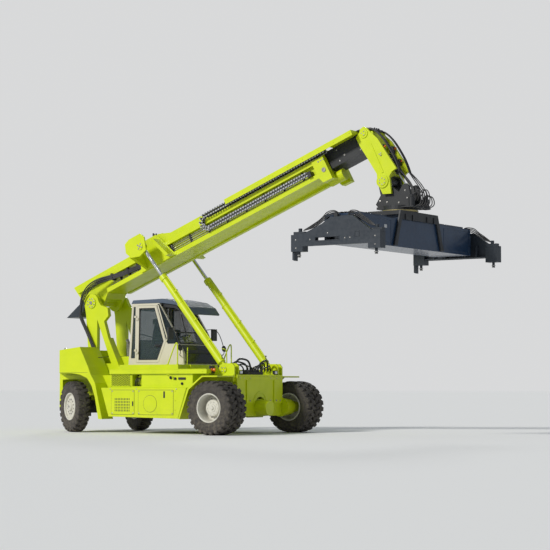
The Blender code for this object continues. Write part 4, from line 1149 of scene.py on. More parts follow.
    def roof(self) -> None:
        """Dresses the roof with its ribs and warning beacon."""
        ribs = Shape()
        for y in (-0.46, -0.15, 0.15, 0.46):
            ribs.plate([(-3.52, 3.535), (-2.62, 3.553), (-2.16, 3.474), (-2.16, 3.488),
                        (-2.62, 3.570), (-3.52, 3.552)], y - 0.03, y + 0.03)
        ribs.make("roof_ribs", ROOF, "chassis", bevel=0.006)
        beacon = Shape()
        beacon.turned([(0.002, 0.0), (0.045, 0.0), (0.045, 0.035), (0.032, 0.052), (0.002, 0.056)],
                      Matrix.Translation((-3.35, 0.60, 3.555)), 24)
        beacon.make("beacon", ORANGE, "chassis")
        Shape().rod((-3.35, 0.60, 3.535), (-3.35, 0.60, 3.558), 0.055, 24).make(
            "beacon_foot", BLACK, "chassis")

    def mirrors(self) -> None:
        """Hangs the mirrors on their bent arms ahead of the cab."""
        runs, heads, faces = [], Shape(), Shape()
        for sy in (-1, 1):
            place = outward(sy)
            runs.append((through(place, [(-2.22, 0.75, 2.75), (-2.16, 0.84, 2.77),
                                         (-2.10, 0.95, 2.76), (-1.98, 0.98, 2.70),
                                         (-1.84, 0.98, 2.42), (-1.76, 0.98, 2.12),
                                         (-1.84, 0.94, 2.04), (-1.92, 0.76, 2.02)]), 0.010))
            heads.box((-2.14, sy * 0.86, 2.46), (-2.09, sy * 1.08, 2.78))
            heads.rod((-1.80, sy * 0.98, 2.24), (-1.77, sy * 0.98, 2.245), 0.085, 24)
            faces.box((-2.146, sy * 0.87, 2.47), (-2.138, sy * 1.07, 2.77))
            faces.rod((-1.806, sy * 0.98, 2.239), (-1.798, sy * 0.98, 2.24), 0.075, 24)
        hoses("mirror_arms", runs, BLACK, "chassis")
        heads.make("mirror_heads", BLACK, "chassis", bevel=0.006)
        faces.make("mirror_faces", CHROME, "chassis")

    def pad(self, name: str, size: Point, at: Matrix, crown: float, seams: int) -> bpy.types.Object:
        """Makes a crowned cushion with sewn channels across it.

        Args:
            name: The cushion's name.
            size: Its length, width and thickness.
            at: Its frame: length along X, thickness along Z.
            crown: How far its top swells.
            seams: How many channels are sewn across it.

        Returns:
            The cushion.
        """
        nx, ny = 28, 22
        lx, ly, lz = size

        def round_off(u: float) -> float:
            """How far in a side lies near its corners."""
            return 1 - 0.05 * abs(u) ** 3

        shape = Shape(PLACES.chassis @ at)
        grids = []
        for top in (True, False):
            grid = []
            for i in range(nx + 1):
                row = []
                for k in range(ny + 1):
                    u, v = 2 * i / nx - 1, 2 * k / ny - 1
                    edge = (1 - abs(u) ** 5) * (1 - abs(v) ** 5)
                    rise = edge ** 0.5 * (1 - 0.25 * (u * u + v * v) / 2)
                    groove = 0.0
                    for m in range(seams):
                        spot = -0.62 + 1.24 * m / max(seams - 1, 1)
                        groove += 0.010 * math.exp(-((u - spot) / 0.045) ** 2)
                    side_bolster = 0.35 * crown * max(0.0, abs(v) - 0.55)
                    z = lz * 0.35 + (crown + lz * 0.15) * rise - groove * edge + side_bolster
                    if not top:
                        z = -lz * 0.35 * edge ** 0.5
                    row.append(shape.bm.verts.new((u * lx / 2 * round_off(v),
                                                   v * ly / 2 * round_off(u),
                                                   z if edge > 0.0001 or top else 0.0)))
                grid.append(row)
            grids.append(grid)
        for grid, flip in ((grids[0], False), (grids[1], True)):
            for i in range(nx):
                for k in range(ny):
                    face = [grid[i][k], grid[i + 1][k], grid[i + 1][k + 1], grid[i][k + 1]]
                    shape.bm.faces.new(face[::-1] if flip else face)
        rim = [(i, 0) for i in range(nx)] + [(nx, k) for k in range(ny)]
        rim += [(i, ny) for i in range(nx, 0, -1)] + [(0, k) for k in range(ny, 0, -1)]
        for a, b in zip(rim, rim[1:] + rim[:1]):
            shape.bm.faces.new((grids[1][a[0]][a[1]], grids[1][b[0]][b[1]],
                                grids[0][b[0]][b[1]], grids[0][a[0]][a[1]]))
        piece = shape.make(name, CLOTH, "chassis", sharp=80)
        return piece

    def seat(self) -> None:
        """Builds the driver's seat with its cushions, arms and joystick."""
        f = self.floor
        pan = self.pad("seat_cushion", (0.52, 0.50, 0.12),
                       Matrix.Translation((-2.98, 0, f + 0.42)), 0.022, 3)
        for name, size, x, z, lean, crown, seams in (
                ("seat_back", (0.62, 0.46, 0.10), -3.245, f + 0.77, -79, 0.022, 4),
                ("seat_headrest", (0.15, 0.26, 0.08), -3.33, f + 1.13, -80, 0.012, 1)):
            at = Matrix.Translation((x, 0, z)) @ Matrix.Rotation(math.radians(lean), 4, "Y")
            self.pad(name, size, at, crown, seams)
        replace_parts(pan, "seat")
        base = Shape()
        base.box((-3.18, -0.22, f), (-2.80, 0.22, f + 0.06))
        for i in range(5):
            z, tuck = f + 0.07 + i * 0.04, 0.008 * (i % 2)
            base.box((-3.16 + tuck, -0.20, z), (-2.82 - tuck, 0.20, z + 0.032))
        base.box((-3.22, -0.24, f + 0.27), (-2.76, 0.24, f + 0.34))
        for sy in (-1, 1):
            base.box((-3.12, sy * 0.25, f + 0.50), (-2.76, sy * 0.36, f + 0.57))
            base.box((-3.10, sy * 0.24, f + 0.32), (-3.02, sy * 0.30, f + 0.52))
            y = sy * 0.305
            base.rod((-2.80, y, f + 0.56), (-2.79, y, f + 0.68), 0.012, 10)
            base.rod((-2.79, y, f + 0.67), (-2.785, y, f + 0.75), 0.022, 14, 0.028)
        base.make("seat_base", BLACK, "chassis", bevel=0.008)

    def inside(self) -> None:
        """Furnishes the cab: mat, dash, display and pedals."""
        f = self.floor
        dash = Shape()
        dash.box((-3.55, -0.68, f + 0.002), (-1.93, 0.68, f + 0.012))
        for y in (-0.20, 0.02, 0.20):
            dash.plate([(-2.42, f + 0.02), (-2.30, f + 0.14), (-2.29, f + 0.13), (-2.40, f + 0.01)],
                       y - 0.05, y + 0.05)
        dash.box((-2.22, -0.62, f + 0.40), (-2.08, -0.34, f + 0.44))
        dash.rod((-2.22, -0.52, f + 0.30), (-2.22, -0.52, f + 0.72), 0.014, 12)
        dash.box((-2.25, -0.64, f + 0.70), (-2.21, -0.40, f + 0.88))
        dash.make("cab_controls", BLACK, "chassis", bevel=0.004)
        Shape().box((-2.256, -0.625, f + 0.715), (-2.249, -0.415, f + 0.865)).make(
            "cab_display", SCREEN, "chassis")

    def build(self) -> None:
        """Makes all that the cab's shell leaves out."""
        self.sides()
        self.front()
        self.roof()
        self.mirrors()
        self.seat()
        self.inside()


# ---------------------------------------------------------------------------- boom
@dataclass
class BoomTrim:
    """Pipes, clamps, weld seams and pin caps on the outer boom."""

    web_y: float = 0.40
    pipe_n: Tuple[float, ...] = (0.28, 0.34, 0.40, 0.45)
    eye: Flat = (2.27, 0.66)

    def pipes(self) -> None:
        """Lays parallel pipes with clamps in the recess of each side."""
        for side, sy in SIDES:
            place = boom_outward(sy)
            y = self.web_y + 0.022
            runs = []
            for k, n in enumerate(self.pipe_n):
                runs.append((through(place, [(0.62 + 0.1 * k, y - 0.03, n), (0.70 + 0.1 * k, y, n),
                                             (2.5, y, n), (4.5, y, n), (7.60 - 0.05 * k, y, n),
                                             (7.70 - 0.05 * k, y - 0.02, n)]), 0.013))
            hoses(f"boom_pipes_{side}", runs, STEEL if sy < 0 else LIME, "boom")
            clamps = Shape(place)
            for i in range(11):
                s = 1.0 + i * 0.64
                clamps.box((s, self.web_y - 0.004, 0.255), (s + 0.05, y + 0.020, 0.475))
            clamps.make(f"pipe_clamps_{side}", BLACK, "boom", bevel=0.004)

    def pins(self) -> None:
        """Caps the lift rods' pins and bolts the brackets."""
        x, z = CYLINDER_FOOT
        eye = PLACES.at(x + CYLINDER_REACH * math.cos(CYLINDER_LEAN), 0,
                        z + CYLINDER_REACH * math.sin(CYLINDER_LEAN))
        spot = PLACES.boom.inverted() @ eye
        for side, sy in SIDES:
            place = boom_outward(sy)
            cap = Shape(place)
            cap.rods(spot.x, spot.z, ((1.10, 1.118),), 0.10, 32)
            cap.rods(spot.x, spot.z, ((0.935, 1.07),), 0.046, 20)
            cap.make(f"rod_pin_cap_{side}", LIME, "boom", bevel=0.003)
            head = Shape(place)
            head.bolts((spot.x, 1.117, spot.z), (0, 1, 0), 0.07, 4, 0.014)
            head.rods(spot.x, spot.z, ((1.112, 1.124),), 0.03, 18)
            head.make(f"rod_pin_bolts_{side}", STEEL, "boom")

    def seams(self) -> None:
        """Runs weld beads along the strips and stiffeners on the boom's back."""
        beads = []
        for sy in (-1, 1):
            place = boom_outward(sy)
            for n in (0.232, 0.487, 0.612):
                s0 = 0.55 if n < 0.3 else -0.45
                beads.append((through(place, [(s0, 0.402, n), (4.0, 0.402, n), (7.8, 0.402, n)]),
                              0.007))
        hoses("boom_welds", beads, LIME, "boom")
        top = Shape(PLACES.boom)
        for s in (3.6, 4.7, 5.8, 6.9):
            top.box((s, -0.34, 0.798), (s + 0.10, 0.34, 0.812))
        for s in (2.18, 2.50):
            top.box((s, -0.30, 0.925), (s + 0.16, 0.30, 0.945))
        top.box((7.99, -0.42, 0.80), (8.15, 0.42, 0.822))
        top.make("boom_top_pads", LIME, "boom", bevel=0.004)
        fit = Shape(PLACES.boom)
        for y in (-0.26, -0.14, 0.14):
            fit.rod((2.36, y, 0.94), (2.36, y, 1.03), 0.036, 16)
            fit.rod((2.36, y, 1.03), (2.36, y, 1.07), 0.026, 6)
        fit.box((2.30, -0.34, 0.94), (2.46, -0.06, 0.97))
        fit.make("boom_top_valve", BLACK, "boom", bevel=0.003)
        light = Shape(PLACES.boom)
        for s in (8.04, 8.12, 8.20):
            for sy in (-1, 1):
                light.bolt((s, sy * 0.53, 0.50), (0, sy, 0), 0.014)
        for sy in (-1, 1):
            light.rod((8.12, sy * 0.528, 0.24), (8.12, sy * 0.545, 0.24), 0.06, 24)
            light.bolts((8.12, sy * 0.54, 0.24), (0, sy, 0), 0.042, 4, 0.008)
        light.make("collar_bolts", STEEL, "boom")

    def tail_hoses(self) -> None:
        """Bends the hose bundle from the boom's side over its pivot and down the tower."""
        runs = []
        for k in range(7):
            d = 0.027 * k
            y = -0.735 - 0.026 * (k % 2)
            on_boom = through(PLACES.boom, [
                (1.9, -0.44, 0.29 + 0.5 * d), (1.35, -0.47, 0.31 + 0.6 * d),
                (0.85, -0.56, 0.36 + 0.7 * d), (0.40, y, 0.40 + 0.8 * d), (0.0, y, 0.30 + d),
                (-0.28, y, 0.08 + d), (-0.40, y, -0.16 + 0.4 * d)])
            fixed = through(PLACES.chassis, [
                (-5.36 - 0.6 * d, y, 3.14 - 0.1 * d), (-5.16 - 0.5 * d, y, 2.78),
                (-4.98 - 0.5 * d, y, 2.45), (-4.84 - 0.6 * d, y - 0.02, 2.2),
                (-4.68 - 1.2 * d, -0.84, 2.05)])
            runs.append((on_boom + fixed, 0.0125 if k % 3 else 0.016))
        piece = hoses("tail_hoses", runs, HOSE, "boom", ride=False)
        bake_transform(piece)
        ties = Shape(PLACES.boom)
        for s, n, y in ((1.35, 0.37, -0.47), (0.85, 0.42, -0.56)):
            ties.box((s - 0.02, y - 0.035, n - 0.10), (s + 0.02, y + 0.12, n + 0.10))
        ties.make("hose_ties", BLACK, "boom", bevel=0.004)

    def build(self) -> None:
        """Makes all trim on the outer boom."""
        self.pipes()
        self.pins()
        self.seams()
        self.tail_hoses()


@dataclass
class HoseChain:
    """The energy chain beside the boom, link by link."""

    pitch: float = 0.0853
    centre: Flat = (4.33, 0.505)
    radius: float = 0.175
    half_height: float = 0.056
    y_lower: Flat = (-0.595, -0.530)
    y_upper: Flat = (-0.625, -0.465)
    lower_end: float = 7.74
    upper_end: float = 8.35

    def link(self, grey: Shape, black: Shape, at: Matrix, y: Flat, barred: bool = True) -> None:
        """Adds one link: two side plates, a lid, a floor and a slanted rib.

        Args:
            grey: The shape that the side plates go to.
            black: The shape that the bars go to.
            at: The link's frame, X along the chain and Z across it.
            y: The chain's sides.
            barred: False where the link passes over the lower run, so it has no cross bars.
        """
        p, h = self.pitch, self.half_height
        verts = len(grey.bm.verts), len(black.bm.verts)
        grey.box((-p * 0.46, y[0], -h), (p * 0.46, y[0] + 0.007, -h * 0.45))
        grey.box((-p * 0.46, y[0], h * 0.45), (p * 0.46, y[0] + 0.007, h))
        grey.box((-p * 0.44, y[1] - 0.007, -h), (p * 0.44, y[1], h))
        if barred:
            black.box((-p * 0.30, y[0] + 0.002, -h * 0.9), (p * 0.30, y[1] - 0.002, -h * 0.7))
            black.box((-p * 0.30, y[0] + 0.002, h * 0.7), (p * 0.30, y[1] - 0.002, h * 0.9))
        black.plate([(-p * 0.45, -h), (-p * 0.12, -h), (p * 0.42, h), (p * 0.10, h)],
                    y[0] - 0.001, y[0] + 0.010)
        for shape, start in zip((grey, black), verts):
            shape.bm.verts.ensure_lookup_table()
            for v in list(shape.bm.verts)[start:]:
                v.co = at @ v.co

    def build(self) -> None:
        """Makes the lower run on the boom and the loop and upper run that slide."""
        s0, n0 = self.centre
        low_grey, low_black = Shape(PLACES.boom), Shape(PLACES.boom)
        count = int((self.lower_end - s0) / self.pitch)
        for i in range(count):
            at = Matrix.Translation((s0 + (i + 0.5) * self.pitch, 0, n0 - self.radius))
            self.link(low_grey, low_black, at, self.y_lower)
        low_black.box((self.lower_end - 0.10, -0.585, 0.235), (self.lower_end + 0.01, -0.42, 0.37))
        grey, black = Shape(PLACES.boom), Shape(PLACES.boom)
        turns = 6
        for i in range(turns):
            a = math.pi / 2 + math.pi * (i + 0.5) / turns
            at = (Matrix.Translation((s0 + self.radius * math.cos(a), 0,
                                      n0 + self.radius * math.sin(a)))
                  @ Matrix.Rotation(-(a - math.pi / 2), 4, "Y"))
            self.link(grey, black, at, (-0.620, -0.508), barred=i < turns // 2)
        for i in range(int((self.upper_end - s0) / self.pitch)):
            at = Matrix.Translation((s0 + (i + 0.5) * self.pitch, 0, n0 + self.radius))
            self.link(grey, black, at, self.y_upper)
        pieces = [low_grey.make("chain_lower_plates", LINK_GREY, "boom"),
                  low_black.make("chain_lower_bars", LINK_BLACK, "boom"),
                  grey.make("chain_upper_plates", LINK_GREY, "hose_chain"),
                  black.make("chain_upper_bars", LINK_BLACK, "hose_chain")]
        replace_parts(pieces[0], "chain_lower")
        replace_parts(pieces[2], "chain_loop")
        lines = []
        for k in range(3):
            n = n0 + self.radius - 0.02 + 0.02 * k
            lines.append((through(PLACES.boom, [(s0, -0.545 - 0.01 * (k % 2), n),
                                                (6.0, -0.545, n),
                                                (self.upper_end, -0.545, n)]), 0.010))
        hoses("chain_hoses", lines, HOSE, "hose_chain")


@dataclass
class HeadTrim:
    """Hoses, valves and bolts over the boom head, which slide with the inner boom."""

    def build(self) -> None:
        """Makes the head's fittings."""
        body = "boom_extension"
        caps, steel = Shape(), Shape()
        for sy in (-1, 1):
            for (x, z), r in (((4.04, 6.30), 0.115), ((3.49, 7.54), 0.07), ((3.98, 6.98), 0.045)):
                base = 0.396 if r > 0.1 else (0.390 if r > 0.05 else 0.370)
                caps.rod((x, sy * base, z), (x, sy * (base + 0.014), z), r, 28)
                steel.bolts((x, sy * (base + 0.013), z), (0, sy, 0), r * 0.68, 6 if r > 0.1 else 3,
                            0.011)
            caps.plate([(3.665, 7.29), (3.715, 7.27), (4.07, 6.53), (4.02, 6.50)],
                       *sorted((sy * 0.368, sy * 0.384)))
        caps.make("head_caps", LIME, body, bevel=0.003)
        steel.make("head_bolts", STEEL, body)
        seam = Shape(PLACES.boom)
        for sy in (-1, 1):
            for s in (8.52, 9.18):
                for n in (0.33, 0.63):
                    seam.bolt((s, sy * 0.30, n), (0, sy, 0), 0.014)
            seam.rod((8.70, sy * 0.299, 0.41), (8.70, sy * 0.312, 0.41), 0.026, 20)
        seam.make("inner_boom_bolts", STEEL, body)
        band = Shape(PLACES.boom)
        band.box((5.09, -0.659, 0.650), (9.27, -0.654, 0.662))
        for i in range(9):
            s = 5.2 + i * 0.5
            band.bolt((s, -0.655, 0.725), (0, -1, 0), 0.010)
        band.make("tray_lip", LIME, body)
        valve = Shape()
        valve.box((3.46, -0.16, 7.60), (3.74, 0.16, 7.655))
        for sy in (-1, 1):
            valve.box((3.90, sy * 0.19, 7.06), (4.02, sy * 0.298, 7.24))
            valve.box((4.08, sy * 0.20, 6.74), (4.20, sy * 0.298, 6.90))
        for y in (-0.10, 0.0, 0.10):
            valve.rod((3.60, y, 7.62), (3.66, y, 7.70), 0.022, 12)
        valve.make("head_valves", BLACK, body, bevel=0.008)
        fit = Shape()
        for sy in (-1, 1):
            fit.rod((4.00, sy * 0.25, 7.17), (4.07, sy * 0.25, 7.20), 0.024, 10)
            fit.rod((4.18, sy * 0.25, 6.84), (4.24, sy * 0.25, 6.86), 0.018, 10)
        fit.make("head_fittings", ORANGE, body)
        runs = []
        rows = random.Random(11)
        for k in range(8):
            y = (-1 if k < 4 else 1) * (0.205 + 0.028 * (k % 4))
            lift = rows.uniform(-0.02, 0.03)
            start = PLACES.on_boom(8.9 + 0.05 * k, -0.50 + 0.10 * k, 0.80)
            over = ((3.46, 7.66 + lift * 0.6), (3.70, 7.655 + lift), (3.98, 7.42 + lift),
                    (4.19, 7.12 + lift), (4.38, 6.80 + lift), (4.47, 6.54))
            runs.append(([start] + [PLACES.at(x, y, z) for x, z in over],
                         0.014 if k % 3 else 0.018))
        hoses("head_hoses", runs, HOSE, body)
        across = []
        for k in range(4):
            n = 0.80 + 0.012 * k
            across.append((through(PLACES.boom, [
                (8.3 + 0.04 * k, -0.56 + 0.05 * k, n - 0.08), (8.6 + 0.04 * k, -0.50 + 0.05 * k, n),
                (9.2, -0.40 + 0.10 * k, n), (9.5, -0.28 + 0.10 * k, n - 0.02)]), 0.013))
        hoses("tray_hoses", across, HOSE, body)
        loops = []
        for k in range(6):
            y = (-1 if k < 3 else 1) * (0.20 + 0.028 * (k % 3))
            swell = 0.04 * (k % 3)
            down = [(4.46, y, 6.56), (4.60 + swell, y, 6.36), (4.78 + swell, y * 1.1, 6.12),
                    (4.84 + swell, y * 1.25, 5.92), (4.80, y * 1.3, 5.70)]
            loops.append((through(PLACES.chassis, down), 0.013))
        piece = hoses("rotator_hoses", loops, HOSE, body, ride=False)
        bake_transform(piece)


@dataclass
class LiftCylinders:
    """Pipes, glands and eyes on the two lift cylinders."""

    half_track: float = 0.988
    gland: float = 3.23

    def build(self) -> None:
        """Makes the trim of both cylinders."""
        for side, sy in SIDES:
            body = f"lift_cylinder_{side}"
            foot_x, foot_z = CYLINDER_FOOT
            place = (PLACES.chassis @ Matrix.Translation((foot_x, sy * self.half_track, foot_z))
                     @ Matrix.Rotation(-CYLINDER_LEAN, 4, "Y"))
            runs = [(through(place, [(0.30, -0.06, -0.10), (0.36, -0.06, -0.135),
                                     (0.60, -0.05, -0.135), (2.0, -0.05, -0.135),
                                     (3.0, -0.05, -0.135), (3.10, -0.04, -0.125),
                                     (3.14, -0.02, -0.095)]), 0.016)]
            hoses(f"cylinder_pipe_{side}", runs, LIME, body)
            rings = Shape(place)
            for s, r in ((self.gland - 0.006, 0.106), (2.27, 0.112), (0.245, 0.112)):
                rings.turned([(r - 0.03, s - 0.014), (r, s - 0.014), (r, s + 0.014),
                              (r - 0.03, s + 0.014)], ALONG_X, 32)
            for s in (0.9, 1.6, 2.6):
                r = 0.108 if s < 2.26 else 0.091
                rings.turned([(r - 0.01, s), (r, s), (r, s + 0.035), (r - 0.01, s + 0.035)],
                             ALONG_X, 32)
                rings.box((s, -0.075, -0.155), (s + 0.035, -0.02, -0.09))
            rings.make(f"cylinder_rings_{side}", LIME, body, bevel=0.002)
            bolts = Shape(place)
            bolts.bolts((self.gland, 0, 0), (1, 0, 0), 0.086, 8, 0.009)
            bolts.rod((0.34, -0.06, -0.14), (0.34, -0.06, -0.18), 0.022, 6)
            bolts.make(f"cylinder_bolts_{side}", STEEL, body)
            seal = Shape(place)
            seal.turned([(0.052, self.gland), (0.066, self.gland), (0.060, self.gland + 0.012),
                         (0.052, self.gland + 0.012)], ALONG_X, 32)
            seal.make(f"rod_wiper_{side}", RUBBER_SEAL, body)
            feeds = [(through(outward(sy), [(-0.36 - 0.04 * k, 0.90, 1.55),
                                            (-0.46 - 0.05 * k, 0.93, 1.66),
                                            (-0.52 - 0.04 * k, 0.96, 1.82 + 0.04 * k),
                                            (-0.46, 0.97, 1.95 + 0.02 * k)]), 0.017)
                     for k in range(3)]
            piece = hoses(f"cylinder_feeds_{side}", feeds, HOSE, body, ride=False)
            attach(piece, "chassis")
            ears = Shape(outward(sy))
            ears.rods(foot_x, foot_z, ((1.110, 1.118), (0.862, 0.870)), 0.085, 28)
            ears.make(f"ear_caps_{side}", LIME, "chassis", bevel=0.002)
            heads = Shape(outward(sy))
            heads.bolts((foot_x, 1.117, foot_z), (0, 1, 0), 0.06, 4, 0.012)
            heads.make(f"ear_bolts_{side}", STEEL, "chassis")


# ---------------------------------------------------------------------------- spreader
@dataclass
class SpreaderTrim:
    """Bolts, motors, hoses and lashing gear from the rotator down."""

    slew_x: float = 4.32
    end_y: float = 3.03
    web_x: Flat = (3.783, 4.877)

    def rotator(self) -> None:
        """Bolts the rotator bracket and hangs the slewing motor beside it."""
        bolts = Shape()
        for dx, y in circle(0.385, 18):
            bolts.bolt((self.slew_x + dx, y, 5.665), (0, 0, 1), 0.014)
        for sy in (-1, 1):
            for px, pz in ((3.90, 5.82), (4.10, 5.78), (4.44, 5.76), (4.68, 5.86), (4.62, 6.05)):
                bolts.bolt((px, sy * 0.27, pz), (0, sy, 0), 0.014)
        bolts.make("rotator_bolts", STEEL, "rotator")
        motor = Shape()
        for y in (-0.36, 0.36):
            motor.rod((4.86, y, 5.62), (4.86, y, 5.86), 0.075, 24)
            motor.rod((4.86, y, 5.86), (4.86, y, 5.93), 0.05, 20)
            motor.box((4.79, y - 0.06, 5.60), (4.93, y + 0.06, 5.65))
        motor.box((4.60, -0.44, 5.612), (4.95, 0.44, 5.64))
        motor.make("slew_motors", BLACK, "rotator", bevel=0.004)
        rows = random.Random(3)
        runs = []
        for k in range(7):
            y = -0.34 + 0.11 * k
            up = rows.uniform(0.10, 0.34)
            runs.append((through(PLACES.chassis, [
                (4.82, y, 5.80), (4.90, y + 0.03, 5.85 + up), (5.06, y + 0.06, 5.80 + up),
                (5.10, y + 0.05, 5.66), (4.96, y, 5.645)]), 0.013))
        hoses("motor_hoses", runs, HOSE, "rotator")

    def ring(self) -> None:
        """Cuts the slewing ring's look: bolts and a bright race."""
        race = Shape(PLACES.chassis @ Matrix.Translation((self.slew_x, 0, 0)))
        race.turned([(0.425, 5.535), (0.455, 5.535), (0.455, 5.572), (0.425, 5.572)], segs=64)
        race.make("slew_race", BRASS, "slewing_saddle")
        top = Shape()
        for sx in (3.86, 4.80):
            for k in range(9):
                top.bolt((sx, -0.80 + 0.2 * k, 5.50), (0, 0, 1), 0.014)
        top.make("saddle_bolts", STEEL, "slewing_saddle")
        ribs = Shape()
        for sy in (-1, 1):
            for sx in self.web_x:
                ribs.plate([(sy * 1.14, 4.64), (sy * 1.18, 4.64), (sy * 0.92, 5.46),
                            (sy * 0.88, 5.46)], sx - 0.002, sx + 0.002, Across.X)
        for y in (-0.7, -0.35, 0.35, 0.7):
            for sx in self.web_x:
                ribs.box((sx - 0.022, y - 0.012, 5.28), (sx + 0.022, y + 0.012, 5.42))
        ribs.make("saddle_ribs", BLACK, "slewing_saddle", bevel=0.002)

    def frame(self) -> None:
        """Outlines the box frame's panels and lays its hoses and extension drives."""
        trim = Shape()
        y0, y1, bead = 1.30, 2.62, 0.012
        for sx, d in ((3.835, -1), (4.825, 1)):
            for sy in (-1, 1):
                for z in (4.66, 5.208):
                    trim.box((sx, sy * y0, z), (sx + d * 0.006, sy * y1, z + bead))
                for y in (y0, y1 - bead):
                    trim.box((sx, sy * y, 4.66), (sx + d * 0.006, sy * (y + bead), 5.22))
                trim.box((sx, sy * 2.64, 4.60), (sx + d * 0.016, sy * 2.70, 5.28))
        for sy in (-1, 1):
            trim.box((3.87, sy * 2.60, 5.28), (4.79, sy * 2.68, 5.31))
            trim.box((3.96, sy * 1.30, 5.28), (4.04, sy * 2.55, 5.34))
            trim.box((4.62, sy * 1.30, 5.28), (4.70, sy * 2.55, 5.34))
        trim.make("frame_trim", NAVY, "spreader", bevel=0.003)
        Shape().box((4.825, -1.62, 5.02), (4.829, -1.50, 5.10)).make(
            "blank_plate", LINK_GREY, "spreader")
        runs = []
        for sy in (-1, 1):
            for k in range(4):
                x = 4.14 + 0.11 * k
                runs.append((through(outward(sy), [(x, 0.9, 5.29), (x, 1.3, 5.34 + 0.02 * (k % 2)),
                                                   (x + 0.02, 1.8, 5.33), (x, 2.3, 5.35),
                                                   (x - 0.02, 2.62, 5.34)]), 0.014))
        hoses("frame_hoses", runs, HOSE, "spreader")
        gear = Shape()
        for sy in (-1, 1):
            gear.box((4.18, sy * 1.78, 5.279), (4.46, sy * 2.02, 5.385))
            gear.rod((4.32, sy * 2.02, 5.33), (4.32, sy * 2.34, 5.33), 0.042, 20)
            gear.rod((4.32, sy * 2.34, 5.33), (4.32, sy * 2.60, 5.33), 0.022, 16)
        gear.make("extension_drives", BLACK, "spreader", bevel=0.006)

    def beam(self, side: str, sy: int) -> None:
        """Dresses an end beam: bolts, twistlocks, gussets, hoses, twistlock housings and a lamp.

        Args:
            side: The side's name.
            sy: -1 on the right and 1 on the left.
        """
        body, y = f"spreader_beam_{side}", self.end_y
        place = outward(sy)
        steel = Shape(place)
        for px, pz in ((3.62, 4.69), (4.60, 4.69), (4.74, 4.69), (4.12, 4.82), (3.22, 4.70),
                       (5.42, 4.70), (3.22, 4.50), (5.42, 4.50)):
            steel.bolt((px, y, pz), (0, 1, 0), 0.011)
        for xm in (3.25, 5.39):
            steel.rod((xm, y - 0.11, 4.285), (xm, y - 0.11, 4.325), 0.05, 4, 0.024)
            steel.rod((xm, y - 0.11, 4.325), (xm, y - 0.11, 4.345), 0.05, 16)
        steel.make(f"beam_bolts_{side}", STEEL, body)
        dark = Shape(place)
        rim = 0.018
        for x0, x1, z0, z1 in ((3.78, 4.43, 4.66, 4.73), (4.88, 4.98, 4.72, 4.82)):
            dark.box((x0 - rim, y, z0 - rim), (x1 + rim, y + 0.008, z0))
            dark.box((x0 - rim, y, z1), (x1 + rim, y + 0.008, z1 + rim))
            dark.box((x0 - rim, y, z0), (x0, y + 0.008, z1))
            dark.box((x1, y, z0), (x1 + rim, y + 0.008, z1))
        for x0 in (3.09, 5.23):
            dark.box((x0, y - 0.235, 4.80), (x0 + 0.32, y - 0.10, 4.90))
            dark.rod((x0 + 0.16, y - 0.16, 4.90), (x0 + 0.16, y - 0.16, 4.98), 0.045, 20)
            dark.box((x0 + 0.02, y - 0.10, 4.44), (x0 + 0.30, y - 0.003, 4.48))
        for x in (3.70, 4.02, 4.62, 4.95):
            dark.plate([(x - 0.012, 4.56), (x + 0.012, 4.56), (x + 0.012, 4.86), (x - 0.012, 4.86)],
                       y - 0.24, y - 0.10)
        dark.box((3.42, y - 0.22, 4.55), (5.22, y - 0.10, 4.575))
        dark.make(f"beam_fittings_{side}", SLATE, body, bevel=0.004)
        runs = []
        for k in range(4):
            h = 0.03 * k
            back = ((4.36 - 0.05 * k, 5.16), (4.30, 5.27 + h), (4.12 - h, 5.28 + h),
                    (3.86, 5.10 + h), (3.60, 4.96 + h), (3.34, 4.93))
            ahead = ((4.46 + 0.05 * k, 5.16), (4.52, 5.26 + h), (4.76 + h, 5.25 + h),
                     (4.98, 5.12 + h), (5.20, 4.98 + h), (5.36, 4.94))
            for line in (back, ahead):
                depths = (0.30, 0.22, 0.16, 0.16, 0.16, 0.16)
                runs.append((through(place, [(x, y - d, z) for (x, z), d in zip(line, depths)]),
                             0.012))
        hoses(f"beam_hoses_{side}", runs, HOSE, body)
        lamp = Shape(place)
        lamp.box((4.28, y - 0.09, 5.20), (4.38, y - 0.02, 5.28))
        lamp.rod((4.33, y - 0.055, 5.28), (4.33, y - 0.055, 5.33), 0.03, 16)
        lamp.make(f"beam_lamp_{side}", BLACK, body, bevel=0.004)

    def build(self) -> None:
        """Makes everything below the boom head."""
        self.rotator()
        self.ring()
        self.frame()
        for side, sy in SIDES:
            self.beam(side, sy)


# ---------------------------------------------------------------------------- carried-over nodes
class FrameNodes:
    """The frame's own nodes that keep their shape."""

    def build(self) -> None:
        """Finishes each node by its record slot."""
        slots = {p["node"]: p["material_slot"] for p in frame["record"]["subparts"]}
        for name, obj in frame["nodes"].items():
            finish = NODE_FINISH[slots[name]]
            obj.data.materials.clear()
            obj.data.materials.append(finish.material())


